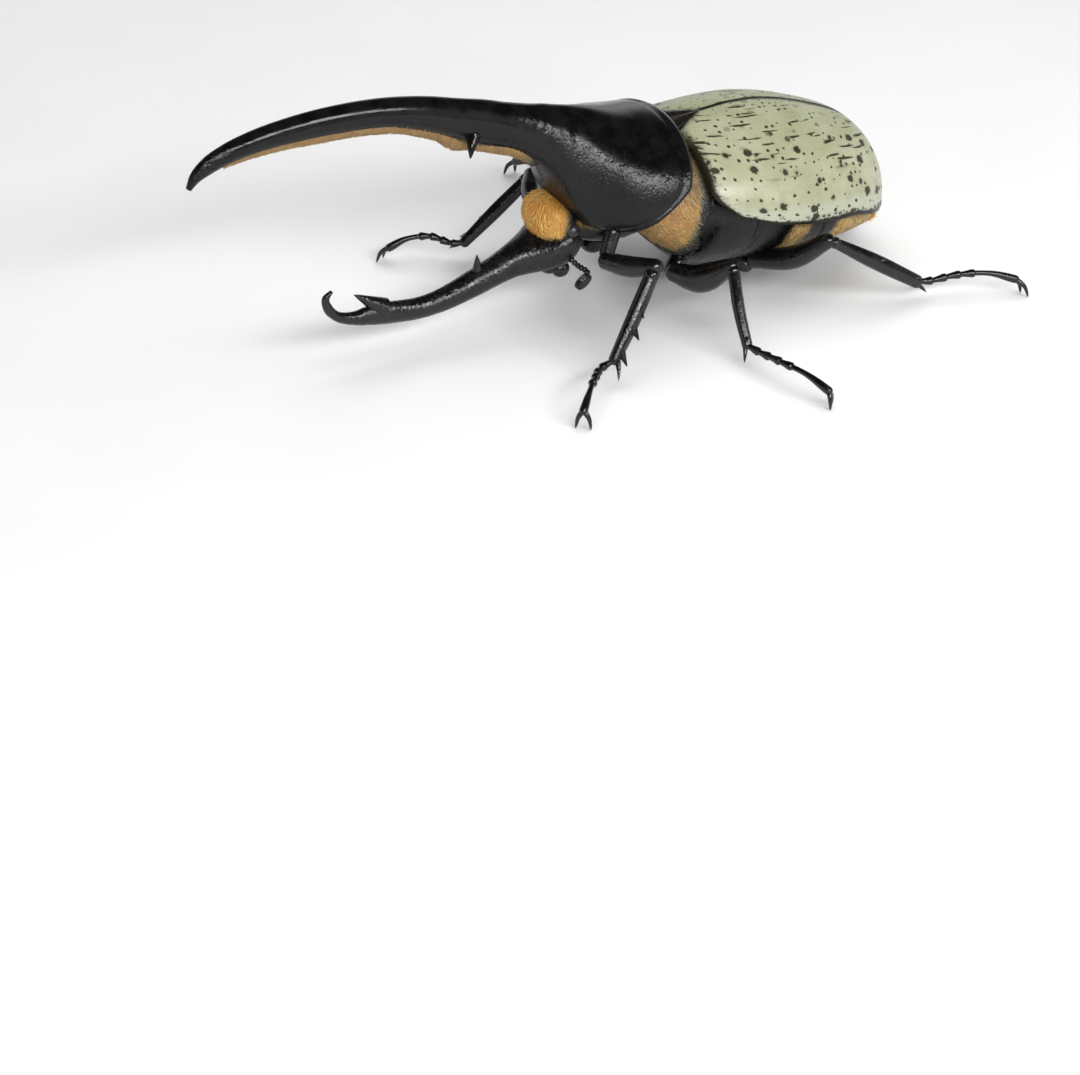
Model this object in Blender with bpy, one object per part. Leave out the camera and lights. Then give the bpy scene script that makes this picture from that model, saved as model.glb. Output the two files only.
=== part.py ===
# Display figure of a hercules beetle, male, standing on its six feet.
# The head points along -Y, +X is the beetle's left side and the floor is z = 0.
# Sizes are written in millimetres and scaled to metres when a mesh is made.
import math
import random

import bmesh
import bpy
from mathutils import Matrix, Vector

MM = 0.001
GAP = 0.3
FIT = 0.42
SEED = 7
WELD_DISTANCES = (0.02, 0.005, 0.001)

# The tip of the scutellum is y = 0 while the figure is drawn. This shift then puts the
# origin under the middle of the whole figure, which is longer in front than behind.
MIDDLE_Y = 26.9

# The outer wing covers: half width, top and lower edge at each station along the body.
WING_STATIONS = (
    # y, half width, top, lower edge, roundness of the section
    (-9.5, 18.0, 37.0, 24.6, 1.85),
    (-5.0, 19.7, 37.6, 24.4, 1.85),
    (0.0, 21.1, 37.8, 22.9, 1.85),
    (6.0, 21.9, 38.1, 20.8, 1.85),
    (12.0, 22.2, 37.7, 19.5, 1.87),
    (19.0, 21.8, 36.2, 18.2, 1.9),
    (26.0, 20.5, 33.8, 17.2, 1.95),
    (32.0, 18.2, 31.3, 15.0, 2.1),
    (36.0, 15.4, 29.0, 13.4, 2.3),
    (38.5, 12.7, 26.4, 12.2, 2.45),
    (41.0, 9.9, 22.2, 11.4, 2.55),
    (42.6, 6.6, 17.6, 11.0, 2.6),
    (43.4, 3.4, 14.4, 10.8, 2.6),
)
WING_THICK = 1.4
WING_REAR = 43.4
TRUNK_POWER = 1.85
WING_SHOULDER = -7.4
WING_SIDE_SETBACK = 5.4
WING_CORNER = 2.3
SUTURE = 0.5 * GAP

SCUTELLUM_HALF = 5.6
SCUTELLUM_FRONT = -9.2
SCUTELLUM_TIP = -0.5
SCUTELLUM_TOP = 38.0

# The dome behind the big horn: its widest level lies low, so the sides tuck in.
PRONOTUM_STATIONS = (
    # y, half width, widest level, top, bottom, roundness above and below that level
    (-47.0, 3.3, 45.2, 50.0, 40.6, 2.0, 2.0),
    (-44.0, 3.6, 44.0, 49.2, 39.4, 2.0, 2.0),
    (-41.0, 4.1, 42.4, 48.3, 37.6, 2.0, 2.0),
    (-38.5, 5.0, 40.0, 47.6, 35.4, 1.95, 1.95),
    (-36.0, 6.5, 35.8, 47.1, 31.8, 1.85, 1.95),
    (-33.5, 8.8, 30.4, 46.4, 26.4, 1.75, 2.05),
    (-30.5, 11.2, 27.0, 45.6, 22.0, 1.7, 2.2),
    (-27.0, 14.3, 26.0, 44.6, 21.1, 1.75, 2.3),
    (-23.5, 16.9, 26.0, 43.5, 21.1, 1.85, 2.3),
    (-20.0, 18.3, 26.4, 42.4, 21.2, 1.92, 2.2),
    (-16.0, 18.8, 27.2, 41.4, 21.4, 1.95, 2.0),
    (-12.0, 18.8, 27.6, 40.7, 21.4, 1.95, 1.95),
    (-8.5, 18.6, 27.6, 39.8, 21.4, 1.95, 1.95),
    (-4.0, 18.2, 27.6, 37.4, 21.4, 1.95, 1.95),
)
# Two slanting planes cut its rear edge: one for the height of the dome, one for its lower corner.
PRONOTUM_REAR_TOP = (-9.2, 39.4)
PRONOTUM_REAR_LOW = (-16.9, 22.4)
PRONOTUM_CORNER_TOP = (-16.4, 28.9)
PRONOTUM_CORNER_LOW = (-23.1, 24.2)

HORN_ROOT = -46.0
# Centre line of the big horn from its root to its tip, with half height and half width.
HORN_PATH = (
    # y, z, half height, half width
    (-44.0, 44.3, 4.9, 3.6),
    (-50.0, 46.5, 4.5, 3.2),
    (-56.0, 48.65, 4.0, 3.0),
    (-62.0, 50.8, 3.55, 2.9),
    (-70.0, 52.95, 2.95, 2.7),
    (-80.0, 53.9, 2.85, 2.4),
    (-90.0, 53.95, 2.55, 2.2),
    (-98.0, 53.3, 2.15, 1.95),
    (-103.5, 52.1, 1.9, 1.65),
    (-107.2, 50.6, 1.7, 1.25),
    (-109.7, 48.8, 1.15, 0.85),
    (-111.0, 46.9, 0.55, 0.5),
)
HORN_TOOTH_TIP = (4.5, -54.8, 41.8)
HORN_TOOTH_ROOT = (2.1, -52.8, 45.2)
HORN_TOOTH_RADIUS = 1.35

# The felted strip that runs along under the big horn and down the front of the dome.
PILE_STATIONS = (
    # y, thickness, share of the shell's width that it covers
    (-104.0, 0.6, 0.45),
    (-100.0, 1.1, 0.6),
    (-90.0, 1.35, 0.7),
    (-78.0, 1.5, 0.7),
    (-66.0, 1.6, 0.7),
    (-60.0, 1.7, 0.7),
    (-57.4, 2.5, 0.6),
    (-55.0, 2.9, 0.42),
    (-52.0, 2.1, 0.4),
    (-48.6, 1.7, 0.5),
    (-44.0, 1.4, 0.62),
    (-40.6, 1.1, 0.55),
    (-38.4, 0.8, 0.45),
)
PILE_CLEARANCE = 0.5
PILE_STEPS = 36
PILE_BUMP = 0.2

# The lower horn on the head, with its two teeth and its hooked tip.
HEAD_HORN_ROOT = -41.0
HEAD_HORN_PATH = (
    # y, z, half height, half width
    (-38.5, 16.0, 3.8, 4.2),
    (-42.3, 14.6, 3.1, 3.4),
    (-46.3, 13.4, 2.85, 3.0),
    (-50.5, 12.1, 2.7, 2.7),
    (-54.5, 10.9, 2.5, 2.4),
    (-59.0, 9.9, 2.3, 2.15),
    (-63.5, 9.6, 2.2, 1.95),
    (-67.7, 10.0, 2.25, 1.85),
    (-71.0, 10.5, 2.3, 1.7),
    (-74.5, 10.9, 2.0, 1.5),
    (-78.0, 11.2, 1.35, 1.2),
    (-81.6, 12.7, 1.0, 0.95),
    (-83.4, 15.0, 0.95, 0.9),
    (-83.7, 17.1, 0.75, 0.7),
    (-82.4, 18.3, 0.35, 0.35),
)
HEAD_HORN_TEETH = (
    # root y, root z, tip y, tip z, root radius
    (-71.4, 11.8, -77.7, 16.3, 2.1),
    (-50.2, 12.6, -50.5, 18.1, 1.7),
)

HEAD_STATIONS = (
    # y, half width, widest level, top, bottom
    (-42.0, 3.5, 14.9, 18.2, 11.6),
    (-39.0, 4.8, 15.8, 19.2, 11.9),
    (-36.0, 6.3, 17.2, 20.4, 12.1),
    (-33.2, 7.0, 18.6, 22.0, 12.4),
    (-31.0, 6.4, 18.8, 22.2, 13.4),
    (-29.0, 4.6, 18.8, 21.4, 15.4),
    (-28.0, 2.2, 18.8, 20.2, 17.2),
)
HEAD_POWER = 2.5

NECK_PILE_CENTRE = (0.0, -34.0, 22.6)
NECK_PILE_RADII = (7.1, 5.0, 4.7)

EYE_CENTRE = (6.4, -32.7, 21.9)
EYE_RADIUS = 1.4

ANTENNA_PATH = (
    (5.9, -32.6, 15.4),
    (7.4, -31.4, 14.0),
    (9.0, -30.7, 13.6),
    (9.8, -30.7, 13.3),
)
ANTENNA_RADIUS = 0.6
CLUB_CENTRE = (9.9, -31.9, 12.0)
CLUB_RADII = (0.9, 1.9, 1.0)
CLUB_PITCH = 38.0

MOUTH_LOBES = (
    # x, y, z, radius x, radius y, radius z
    (0.0, -33.8, 12.0, 2.6, 2.6, 2.2),
    (2.1, -32.4, 11.2, 1.5, 1.9, 1.7),
    (-2.1, -32.4, 11.2, 1.5, 1.9, 1.7),
)

PROTHORAX_STATIONS = (
    # y, half width, widest level, top, bottom
    (-33.4, 4.0, 21.4, 22.4, 20.2),
    (-32.0, 6.6, 21.6, 24.0, 19.0),
    (-29.0, 9.4, 22.0, 26.0, 17.8),
    (-26.0, 10.6, 22.4, 26.0, 17.2),
    (-22.0, 11.0, 22.4, 26.0, 17.0),
    (-19.0, 10.6, 22.2, 25.6, 17.2),
)
PROSTERNUM_CENTRE = (0.0, -24.0, 14.6)
PROSTERNUM_RADII = (3.0, 2.5, 2.6)

# The trunk under the wing covers. Its upper half follows them inside their shell.
TRUNK_STATIONS = (
    # y, half width, widest level, bottom, roundness below that level
    (-19.6, 13.4, 24.8, 20.0, 2.5),
    (-18.2, 14.6, 24.6, 18.8, 2.7),
    (-16.0, 15.6, 24.0, 17.0, 2.8),
    (-12.0, 16.6, 23.6, 13.0, 2.8),
    (-8.0, 17.6, 22.6, 8.8, 2.5),
    (-3.0, 18.6, 21.4, 6.4, 2.0),
    (3.0, 19.2, 20.2, 5.6, 1.85),
    (10.0, 19.4, 18.6, 5.1, 1.85),
    (18.0, 19.0, 17.0, 4.7, 1.85),
    (25.0, 18.0, 15.6, 4.5, 1.85),
    (31.0, 15.6, 13.6, 4.4, 1.85),
    (36.0, 12.6, 11.2, 4.6, 1.85),
    (40.0, 9.4, 9.2, 5.0, 1.85),
    (43.6, 5.4, 8.2, 5.6, 1.85),
)
TRUNK_CLEARANCE = 2.2
TRUNK_FRONT_TOP = 37.6
PILE_PLANE_LOW = (-11.0, 14.0)
PILE_PLANE_HIGH = (-2.8, 36.0)
ABDOMEN_FRONT = 14.0
TAIL_FRONT = 39.2
TAIL_NOTCHES = 5
TAIL_SWING = 66.0
TAIL_HALF = 6.6
TAIL_REACH = 4.0
TAIL_LEVEL = 6.4
LOBE_LENGTH = 1.8
LOBE_RADIUS = 1.6
LOBE_DROP = 0.6

# Legs: the points where one length ends and the next begins, on the beetle's left.
# The right legs stand a little differently, as in the photographs.
LEGS = {
    "front_left": {
        "coxa": ((11.6, -26.6, 22.4), (12.6, -28.4, 18.6)),
        "femur": ((14.2, -29.4, 18.0), (19.6, -27.6, 18.9), (25.0, -25.1, 20.8)),
        "tibia": ((25.5, -26.2, 19.5), (27.4, -31.2, 12.2), (29.2, -36.4, 5.3)),
        "tarsus": ((29.3, -38.6, 4.7), (33.4, -43.4, 5.3), (37.6, -47.4, 5.0), (40.0, -49.9, 3.6)),
        "claws": ((39.7, -51.4, -0.4), (41.7, -49.1, -0.4)),
    },
    "front_right": {
        "coxa": ((-11.6, -26.6, 22.4), (-12.6, -28.4, 18.6)),
        "femur": ((-14.2, -29.2, 17.8), (-18.6, -27.2, 18.1), (-23.0, -24.5, 18.9)),
        "tibia": ((-23.2, -25.6, 17.8), (-24.6, -32.4, 11.4), (-25.4, -38.8, 5.8)),
        "tarsus": ((-26.4, -40.2, 5.4), (-30.6, -44.2, 6.1), (-32.6, -48.8, 5.6), (-33.6, -52.0, 4.0)),
        "claws": ((-35.6, -54.0, -0.4), (-36.8, -51.8, -0.4)),
    },
    "middle_left": {
        "coxa": ((8.4, -8.2, 10.6), (9.6, -10.6, 9.0)),
        "femur": ((11.2, -11.0, 9.2), (17.0, -9.4, 10.2), (24.3, -6.4, 15.8)),
        "tibia": ((25.2, -6.6, 15.2), (30.4, -8.4, 9.4), (35.0, -9.2, 4.1)),
        "tarsus": ((36.8, -9.0, 4.1), (44.4, -8.0, 4.9), (51.2, -6.2, 4.9), (56.0, -4.5, 3.4)),
        "claws": ((57.9, -5.0, -0.4), (56.0, -3.4, -0.4)),
    },
    "middle_right": {
        "coxa": ((-8.4, -8.2, 10.6), (-9.6, -10.6, 9.0)),
        "femur": ((-11.2, -11.0, 9.2), (-17.4, -9.2, 10.8), (-24.6, -6.0, 15.6)),
        "tibia": ((-25.6, -6.0, 15.0), (-31.4, -6.3, 10.2), (-36.9, -6.4, 6.0)),
        "tarsus": ((-38.6, -6.4, 5.8), (-44.4, -7.2, 6.6), (-50.8, -8.4, 5.8), (-55.6, -9.0, 3.9)),
        "claws": ((-57.9, -10.6, -0.4), (-57.7, -7.8, -0.4)),
    },
    "hind_left": {
        "coxa": ((9.2, 5.2, 6.6), (11.0, 6.6, 6.4)),
        "femur": ((12.6, 7.6, 8.2), (19.6, 11.6, 10.8), (26.1, 15.4, 16.7)),
        "tibia": ((26.8, 16.6, 16.3), (28.8, 25.6, 10.7), (30.8, 35.2, 4.6)),
        "tarsus": ((31.3, 37.4, 4.3), (33.2, 43.8, 5.0), (36.0, 50.6, 4.9), (38.4, 55.0, 3.6)),
        "claws": ((40.8, 57.2, -0.4), (38.6, 56.9, -0.4)),
    },
    "hind_right": {
        "coxa": ((-9.2, 5.2, 6.6), (-11.0, 6.6, 6.4)),
        "femur": ((-12.6, 7.6, 8.2), (-20.6, 11.2, 10.4), (-28.0, 15.2, 14.2)),
        "tibia": ((-28.8, 16.2, 13.6), (-30.8, 24.6, 9.0), (-32.6, 32.8, 4.9)),
        "tarsus": ((-33.2, 34.4, 4.8), (-37.0, 39.8, 5.8), (-41.4, 45.4, 5.6), (-45.3, 50.2, 3.7)),
        "claws": ((-47.6, 51.4, -0.4), (-45.0, 53.4, -0.4)),
    },
}
LEG_SIZES = {
    # root, middle and knee radius of the thigh, then the same three places of the shin
    "front": (1.8, 2.1, 1.65, 1.4, 1.5, 1.15),
    "middle": (2.0, 2.9, 1.6, 1.2, 1.2, 1.05),
    "hind": (2.0, 2.4, 1.6, 1.1, 1.65, 1.45),
}
# Teeth on the outer edge of a shin: place along it, length and root radius.
SHIN_TEETH = {
    "front": ((0.42, 1.0, 0.8), (0.59, 2.4, 0.9), (0.9, 2.8, 0.9)),
    "middle": ((0.40, 0.6, 0.7), (0.93, 0.9, 0.8)),
    "hind": ((0.50, 0.8, 0.9), (0.94, 0.9, 0.9)),
}
# How far a tooth stands out of the shin and leans to its end, as shares of the tooth's length.
TOOTH_RISE = 0.72
TOOTH_SLANT = 0.8
TOOTH_FOOT = 0.25
SHIN_STEPS = 41
SPUR_LENGTH = 3.4
SPUR_RADIUS = 0.62
SPUR_TIPS = {
    # how far each spur ends toward the teeth and sideways
    "front": ((2.8, 0.0),),
    "middle": ((-0.35, -1.12),),
    "hind": ((-0.35, -1.12), (-1.0, 0.96)),
}
SPUR_START = 0.3
COXA_RADII = {"front": 1.65, "middle": 1.9, "hind": 1.9}
COXA_TAPER = 0.9
BEADS = 4
BEAD_STEPS = 3
BEAD_WAIST = 0.66
BEAD_FLARE = 0.42
FOOT_STEPS = 40
CLAW_ARCH = 0.55
BEAD_SHARE = 0.58
BEAD_RADIUS = 0.78
LAST_JOINT_RADIUS = 0.62
CLAW_RADIUS = 0.48

COLOURS = {
    # base colour, roughness
    "black": ((0.012, 0.012, 0.012), 0.22),
    "leg": ((0.014, 0.014, 0.015), 0.20),
    "wing": ((0.42, 0.43, 0.31), 0.28),
    "pile": ((0.55, 0.31, 0.08), 0.75),
    "belly": ((0.06, 0.05, 0.03), 0.45),
    "eye": ((0.07, 0.06, 0.09), 0.08),
}


# Small helpers

def signed_power(value, power):
    return math.copysign(abs(value) ** power, value)


def smooth_value(stations, position, column):
    """Read one column of a station table at a position, on a smooth curve through it."""
    rows = list(stations)
    rising = rows[-1][0] > rows[0][0]
    keys = [row[0] if rising else -row[0] for row in rows]
    place = position if rising else -position
    place = min(max(place, keys[0]), keys[-1])
    index = max(i for i in range(len(keys) - 1) if keys[i] <= place)
    before = rows[max(index - 1, 0)]
    left = rows[index]
    right = rows[index + 1]
    after = rows[min(index + 2, len(rows) - 1)]
    span = keys[index + 1] - keys[index]
    t = (place - keys[index]) / span
    slope_left = slope(before, left, right, column) * span
    slope_right = slope(left, right, after, column) * span
    if not rising:
        slope_left = -slope_left
        slope_right = -slope_right
    return (
        left[column] * (2 * t**3 - 3 * t**2 + 1)
        + slope_left * (t**3 - 2 * t**2 + t)
        + right[column] * (3 * t**2 - 2 * t**3)
        + slope_right * (t**3 - t**2)
    )


def slope(before, here, after, column):
    """Gentle slope at a station: zero at a peak, else the smaller-biased mean of both sides."""
    rise_before = (here[column] - before[column]) / ((here[0] - before[0]) or 1.0)
    rise_after = (after[column] - here[column]) / ((after[0] - here[0]) or 1.0)
    if before is here:
        return rise_after
    if after is here:
        return rise_before
    if rise_before * rise_after <= 0.0:
        return 0.0
    return 2.0 * rise_before * rise_after / (rise_before + rise_after)


def spaced(first, last, count):
    return [first + (last - first) * i / (count - 1) for i in range(count)]


def material(kind):
    name = "figure_" + kind
    found = bpy.data.materials.get(name)
    if found:
        return found
    colour, roughness = COLOURS[kind]
    made = bpy.data.materials.new(name)
    made.use_nodes = True
    shader = made.node_tree.nodes["Principled BSDF"]
    shader.inputs["Base Color"].default_value = (*colour, 1.0)
    shader.inputs["Roughness"].default_value = roughness
    shader.inputs["Metallic"].default_value = 0.0
    return made


def mesh_from(bm, name):
    """Turn a bmesh drawn in millimetres into a linked object in metres."""
    bmesh.ops.recalc_face_normals(bm, faces=bm.faces)
    if bm.calc_volume(signed=True) < 0.0:
        bmesh.ops.reverse_faces(bm, faces=bm.faces)
    bmesh.ops.scale(bm, vec=(MM, MM, MM), verts=bm.verts)
    mesh = bpy.data.meshes.new(name)
    bm.to_mesh(mesh)
    bm.free()
    made = bpy.data.objects.new(name, mesh)
    bpy.context.scene.collection.objects.link(made)
    return made


def skin_rings(rings, name):
    """Join rings of points, given in millimetres, into one closed body."""
    bm = bmesh.new()
    rows = [[bm.verts.new(point) for point in ring] for ring in rings]
    for row, following in zip(rows, rows[1:]):
        count = len(row)
        for i in range(count):
            j = (i + 1) % count
            bm.faces.new((row[i], row[j], following[j], following[i]))
    for row in (rows[0], rows[-1]):
        centre = sum((vert.co for vert in row), Vector()) / len(row)
        hub = bm.verts.new(centre)
        for i in range(len(row)):
            bm.faces.new((row[i], row[(i + 1) % len(row)], hub))
    return mesh_from(bm, name)


def body_ring(y, half_width, level, top, bottom, power, count, low_power=None):
    """One ring round a body part, in the plane at y."""
    ring = []
    for i in range(count):
        angle = 2.0 * math.pi * i / count
        above = math.sin(angle) >= 0.0
        roundness = power if above else low_power or power
        x = half_width * signed_power(math.cos(angle), 2.0 / roundness)
        reach = top - level if above else level - bottom
        z = level + reach * signed_power(math.sin(angle), 2.0 / roundness)
        ring.append(Vector((x, y, z)))
    return ring


def body_loft(stations, power, steps, sides, name):
    """Rings along y. With no power given, each station's last columns are its roundness."""
    rings = []
    for y in spaced(stations[0][0], stations[-1][0], steps):
        values = [smooth_value(stations, y, column) for column in range(1, 5)]
        roundness = power or smooth_value(stations, y, 5)
        roundness_below = power or smooth_value(stations, y, 6)
        rings.append(body_ring(y, *values, roundness, sides, roundness_below))
    return skin_rings(rings, name)


def ellipsoid(centre, radii, name, turn=None, segments=16, rings=10):
    bm = bmesh.new()
    bmesh.ops.create_uvsphere(bm, u_segments=segments, v_segments=rings, radius=1.0)
    bmesh.ops.scale(bm, vec=radii, verts=bm.verts)
    if turn:
        bmesh.ops.rotate(bm, verts=bm.verts, cent=(0, 0, 0), matrix=turn)
    bmesh.ops.translate(bm, vec=centre, verts=bm.verts)
    return mesh_from(bm, name)


def sweep(points, radii, name, sides=12, side_axis=Vector((1, 0, 0))):
    """Sweep an oval along points. Radii are pairs: across side_axis' plane and along it."""
    points = [Vector(point) for point in points]
    rings = []
    for i, point in enumerate(points):
        ahead = points[min(i + 1, len(points) - 1)]
        behind = points[max(i - 1, 0)]
        along = (ahead - behind).normalized()
        across = (side_axis - along * side_axis.dot(along)).normalized()
        lift = along.cross(across)
        tall, wide = radii[i]
        ring = []
        for k in range(sides):
            angle = 2.0 * math.pi * k / sides
            ring.append(point + across * (wide * math.cos(angle)) + lift * (tall * math.sin(angle)))
        rings.append(ring)
    return skin_rings(rings, name)


def curve_points(points, steps):
    """Points on a smooth curve through the given ones, spaced evenly in parameter."""
    points = [Vector(point) for point in points]
    out = []
    for place in spaced(0.0, len(points) - 1.0, steps):
        i = min(int(place), len(points) - 2)
        t = place - i
        p0 = points[max(i - 1, 0)]
        p1 = points[i]
        p2 = points[i + 1]
        p3 = points[min(i + 2, len(points) - 1)]
        out.append(0.5 * (2 * p1 + (p2 - p0) * t + (2 * p0 - 5 * p1 + 4 * p2 - p3) * t * t
                          + (3 * p1 - p0 - 3 * p2 + p3) * t**3))
    return out


def spike(root, tip, radius, name, sides=8, blunt=0.25, bend=None, steps=3):
    """A tapered tooth, spur or claw, which may bend through a middle point."""
    root = Vector(root)
    tip = Vector(tip)
    middle = (root + tip) * 0.5 + Vector(bend or (0, 0, 0))
    points = curve_points((root, middle, tip), steps)
    side = Vector((0.31, 0.47, 0.83)).cross(tip - root).normalized()
    radii = []
    for i in range(steps):
        share = i / (steps - 1)
        thick = radius * (1.0 - (1.0 - blunt) * share)
        radii.append((thick, thick))
    return sweep(points, radii, name, sides=sides, side_axis=side)


# Joining and cutting

def is_closed(mesh):
    """True when every edge of a mesh lies between two faces."""
    bm = bmesh.new()
    bm.from_mesh(mesh)
    closed = len(bm.faces) > 0 and all(edge.is_manifold for edge in bm.edges)
    bm.free()
    return closed


def apply_boolean(target, modifier):
    """Apply a Boolean, by the exact solver unless that leaves the body open or empty."""
    for solver in ("EXACT", "MANIFOLD"):
        modifier.solver = solver
        graph = bpy.context.evaluated_depsgraph_get()
        mesh = bpy.data.meshes.new_from_object(target.evaluated_get(graph))
        if is_closed(mesh):
            break
    target.modifiers.clear()
    target.data = mesh


def weld(mesh, distance):
    """A triangulated copy of a mesh with its shortest edges closed up."""
    bm = bmesh.new()
    bm.from_mesh(mesh)
    bmesh.ops.remove_doubles(bm, verts=bm.verts, dist=distance * MM)
    bmesh.ops.dissolve_degenerate(bm, edges=bm.edges, dist=0.25 * distance * MM)
    bmesh.ops.triangulate(bm, faces=bm.faces)
    return bm


def surfaces(bm):
    """The separate surfaces of a mesh, each a list of faces, smallest first."""
    unseen = set(bm.faces)
    groups = []
    while unseen:
        stack = [unseen.pop()]
        group = list(stack)
        while stack:
            for edge in stack.pop().edges:
                for other in edge.link_faces:
                    if other in unseen:
                        unseen.discard(other)
                        stack.append(other)
                        group.append(other)
        groups.append(group)
    return sorted(groups, key=lambda group: sum(face.calc_area() for face in group))


def keep_largest(target):
    """Clean the short edges of a mesh, then keep its largest closed surface."""
    for distance in WELD_DISTANCES:
        bm = weld(target.data, distance)
        if all(edge.is_manifold for edge in bm.edges):
            break
        bm.free()
        bm = weld(target.data, 0.0)
    scraps = [face for group in surfaces(bm)[:-1] for face in group]
    bmesh.ops.delete(bm, geom=scraps, context="FACES")
    loose = [vert for vert in bm.verts if not vert.link_faces]
    bmesh.ops.delete(bm, geom=loose, context="VERTS")
    bm.to_mesh(target.data)
    bm.free()


def fuse(name, pieces):
    """Unite closed pieces into one body that carries the name."""
    base = pieces[0]
    base.name = name
    if len(pieces) > 1:
        group = bpy.data.collections.new(name + "_pieces")
        for piece in pieces[1:]:
            group.objects.link(piece)
        union = base.modifiers.new("union", "BOOLEAN")
        union.operation = "UNION"
        union.operand_type = "COLLECTION"
        union.collection = group
        apply_boolean(base, union)
        for piece in pieces[1:]:
            bpy.data.objects.remove(piece)
        bpy.data.collections.remove(group)
    keep_largest(base)
    return base


def cut(target, cutters):
    """Cut a body with each cutter, then drop the cutters."""
    for cutter in cutters:
        modifier = target.modifiers.new("cut", "BOOLEAN")
        modifier.operation = "DIFFERENCE"
        modifier.object = cutter
        apply_boolean(target, modifier)
    for cutter in cutters:
        bpy.data.objects.remove(cutter)
    keep_largest(target)
    return target


def grown(source, distance=FIT):
    """A copy of a body whose surface stands out by a distance in millimetres."""
    bm = bmesh.new()
    bm.from_mesh(source.data)
    bmesh.ops.recalc_face_normals(bm, faces=bm.faces)
    bm.normal_update()
    moves = [(vert, vert.normal * distance * MM * min(vert.calc_shell_factor(), 1.6)) for vert in bm.verts]
    for vert, move in moves:
        vert.co += move
    mesh = bpy.data.meshes.new(source.name + "_grown")
    bm.to_mesh(mesh)
    bm.free()
    copy = bpy.data.objects.new(source.name + "_grown", mesh)
    bpy.context.scene.collection.objects.link(copy)
    return copy


def slab(low, high, name="slab"):
    """A plain block between two corners, in millimetres."""
    bm = bmesh.new()
    bmesh.ops.create_cube(bm, size=1.0)
    low = Vector(low)
    high = Vector(high)
    bmesh.ops.scale(bm, vec=high - low, verts=bm.verts)
    bmesh.ops.translate(bm, vec=(low + high) * 0.5, verts=bm.verts)
    return mesh_from(bm, name)


def half_space(point, direction, reach=120.0):
    """A block that fills the side of a plane that a direction in the y-z plane points to."""
    y, z = point
    facing = Vector((0.0, direction[0], direction[1])).normalized()
    bm = bmesh.new()
    bmesh.ops.create_cube(bm, size=reach)
    turn = Vector((0, 0, 1)).rotation_difference(facing).to_matrix()
    bmesh.ops.rotate(bm, verts=bm.verts, cent=(0, 0, 0), matrix=turn)
    bmesh.ops.translate(bm, vec=Vector((0, y, z)) + facing * (0.5 * reach), verts=bm.verts)
    return mesh_from(bm, "half_space")


def plane_normal(low, high):
    """The direction that faces backward from a slanting plane through two y-z points."""
    return (high[1] - low[1], low[0] - high[0])


def finish(target, kind):
    target.data.materials.clear()
    target.data.materials.append(material(kind))
    target.data.shade_smooth()
    target.data.set_sharp_from_angle(angle=math.radians(40.0))
    return target


# Body

def make_pronotum():
    dome = body_loft(PRONOTUM_STATIONS, None, 20, 28, "pronotum")
    cut(dome, [
        half_space(PRONOTUM_REAR_LOW, plane_normal(PRONOTUM_REAR_LOW, PRONOTUM_REAR_TOP)),
        half_space(PRONOTUM_CORNER_LOW, plane_normal(PRONOTUM_CORNER_LOW, PRONOTUM_CORNER_TOP)),
        slab((-30, -90, 0), (30, HORN_ROOT + SUTURE, 90)),
    ])
    return dome


def horn_tooth(side):
    root = (HORN_TOOTH_ROOT[0] * side, HORN_TOOTH_ROOT[1], HORN_TOOTH_ROOT[2])
    tip = (HORN_TOOTH_TIP[0] * side, HORN_TOOTH_TIP[1], HORN_TOOTH_TIP[2])
    return spike(root, tip, HORN_TOOTH_RADIUS, "tooth", blunt=0.2, bend=(0.3 * side, 0, 0), steps=4)


def path_sweep(path, steps, sides, name):
    """A horn along a path in the middle plane, with its half height and half width."""
    points = curve_points([(0.0, row[0], row[1]) for row in path], steps)
    sizes = curve_points([(0.0, row[2], row[3]) for row in path], steps)
    return sweep(points, [(size.y, size.z) for size in sizes], name, sides=sides)


def make_thoracic_horn():
    horn = path_sweep(HORN_PATH, 24, 12, "thoracic_horn")
    horn = fuse("thoracic_horn", [horn, horn_tooth(1), horn_tooth(-1)])
    cut(horn, [slab((-30, HORN_ROOT - SUTURE, 0), (30, -30, 90))])
    return horn


def underside(y):
    """The lowest line of the big horn and the dome: its height, and its width and depth there."""
    if y < HORN_ROOT:
        half_height = smooth_value(HORN_PATH, y, 2)
        return smooth_value(HORN_PATH, y, 1) - half_height, smooth_value(HORN_PATH, y, 3), half_height
    level = smooth_value(PRONOTUM_STATIONS, y, 2)
    bottom = smooth_value(PRONOTUM_STATIONS, y, 4)
    return bottom, smooth_value(PRONOTUM_STATIONS, y, 1), level - bottom


def make_horn_pile():
    """A strip whose upper face follows the shell above it and whose lower face is bumpy."""
    draw = random.Random(SEED)
    across = 5
    rings = []
    for y in spaced(PILE_STATIONS[0][0], PILE_STATIONS[-1][0], PILE_STEPS):
        z, half_width, depth = underside(y)
        fall = (underside(y + 0.4)[0] - underside(y - 0.4)[0]) / 0.8
        down = Vector((0.0, fall, -1.0)).normalized()
        thick = smooth_value(PILE_STATIONS, y, 1)
        reach = half_width * smooth_value(PILE_STATIONS, y, 2)
        upper = []
        lower = []
        for share in spaced(-1.0, 1.0, across):
            x = reach * share
            lift = depth * (1.0 - math.sqrt(1.0 - (x / half_width) ** 2))
            bump = 1.0 + PILE_BUMP * draw.uniform(-1.0, 1.0)
            shelf = Vector((x, y, z + lift)) + down * PILE_CLEARANCE
            upper.append(shelf)
            lower.append(shelf + down * (thick * bump * (1.0 - 0.45 * share * share)))
        rings.append(upper + lower[::-1])
    return shell_strips(rings, across, "horn_pile")


def make_head():
    return body_loft(HEAD_STATIONS, HEAD_POWER, 9, 14, "head")


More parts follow.
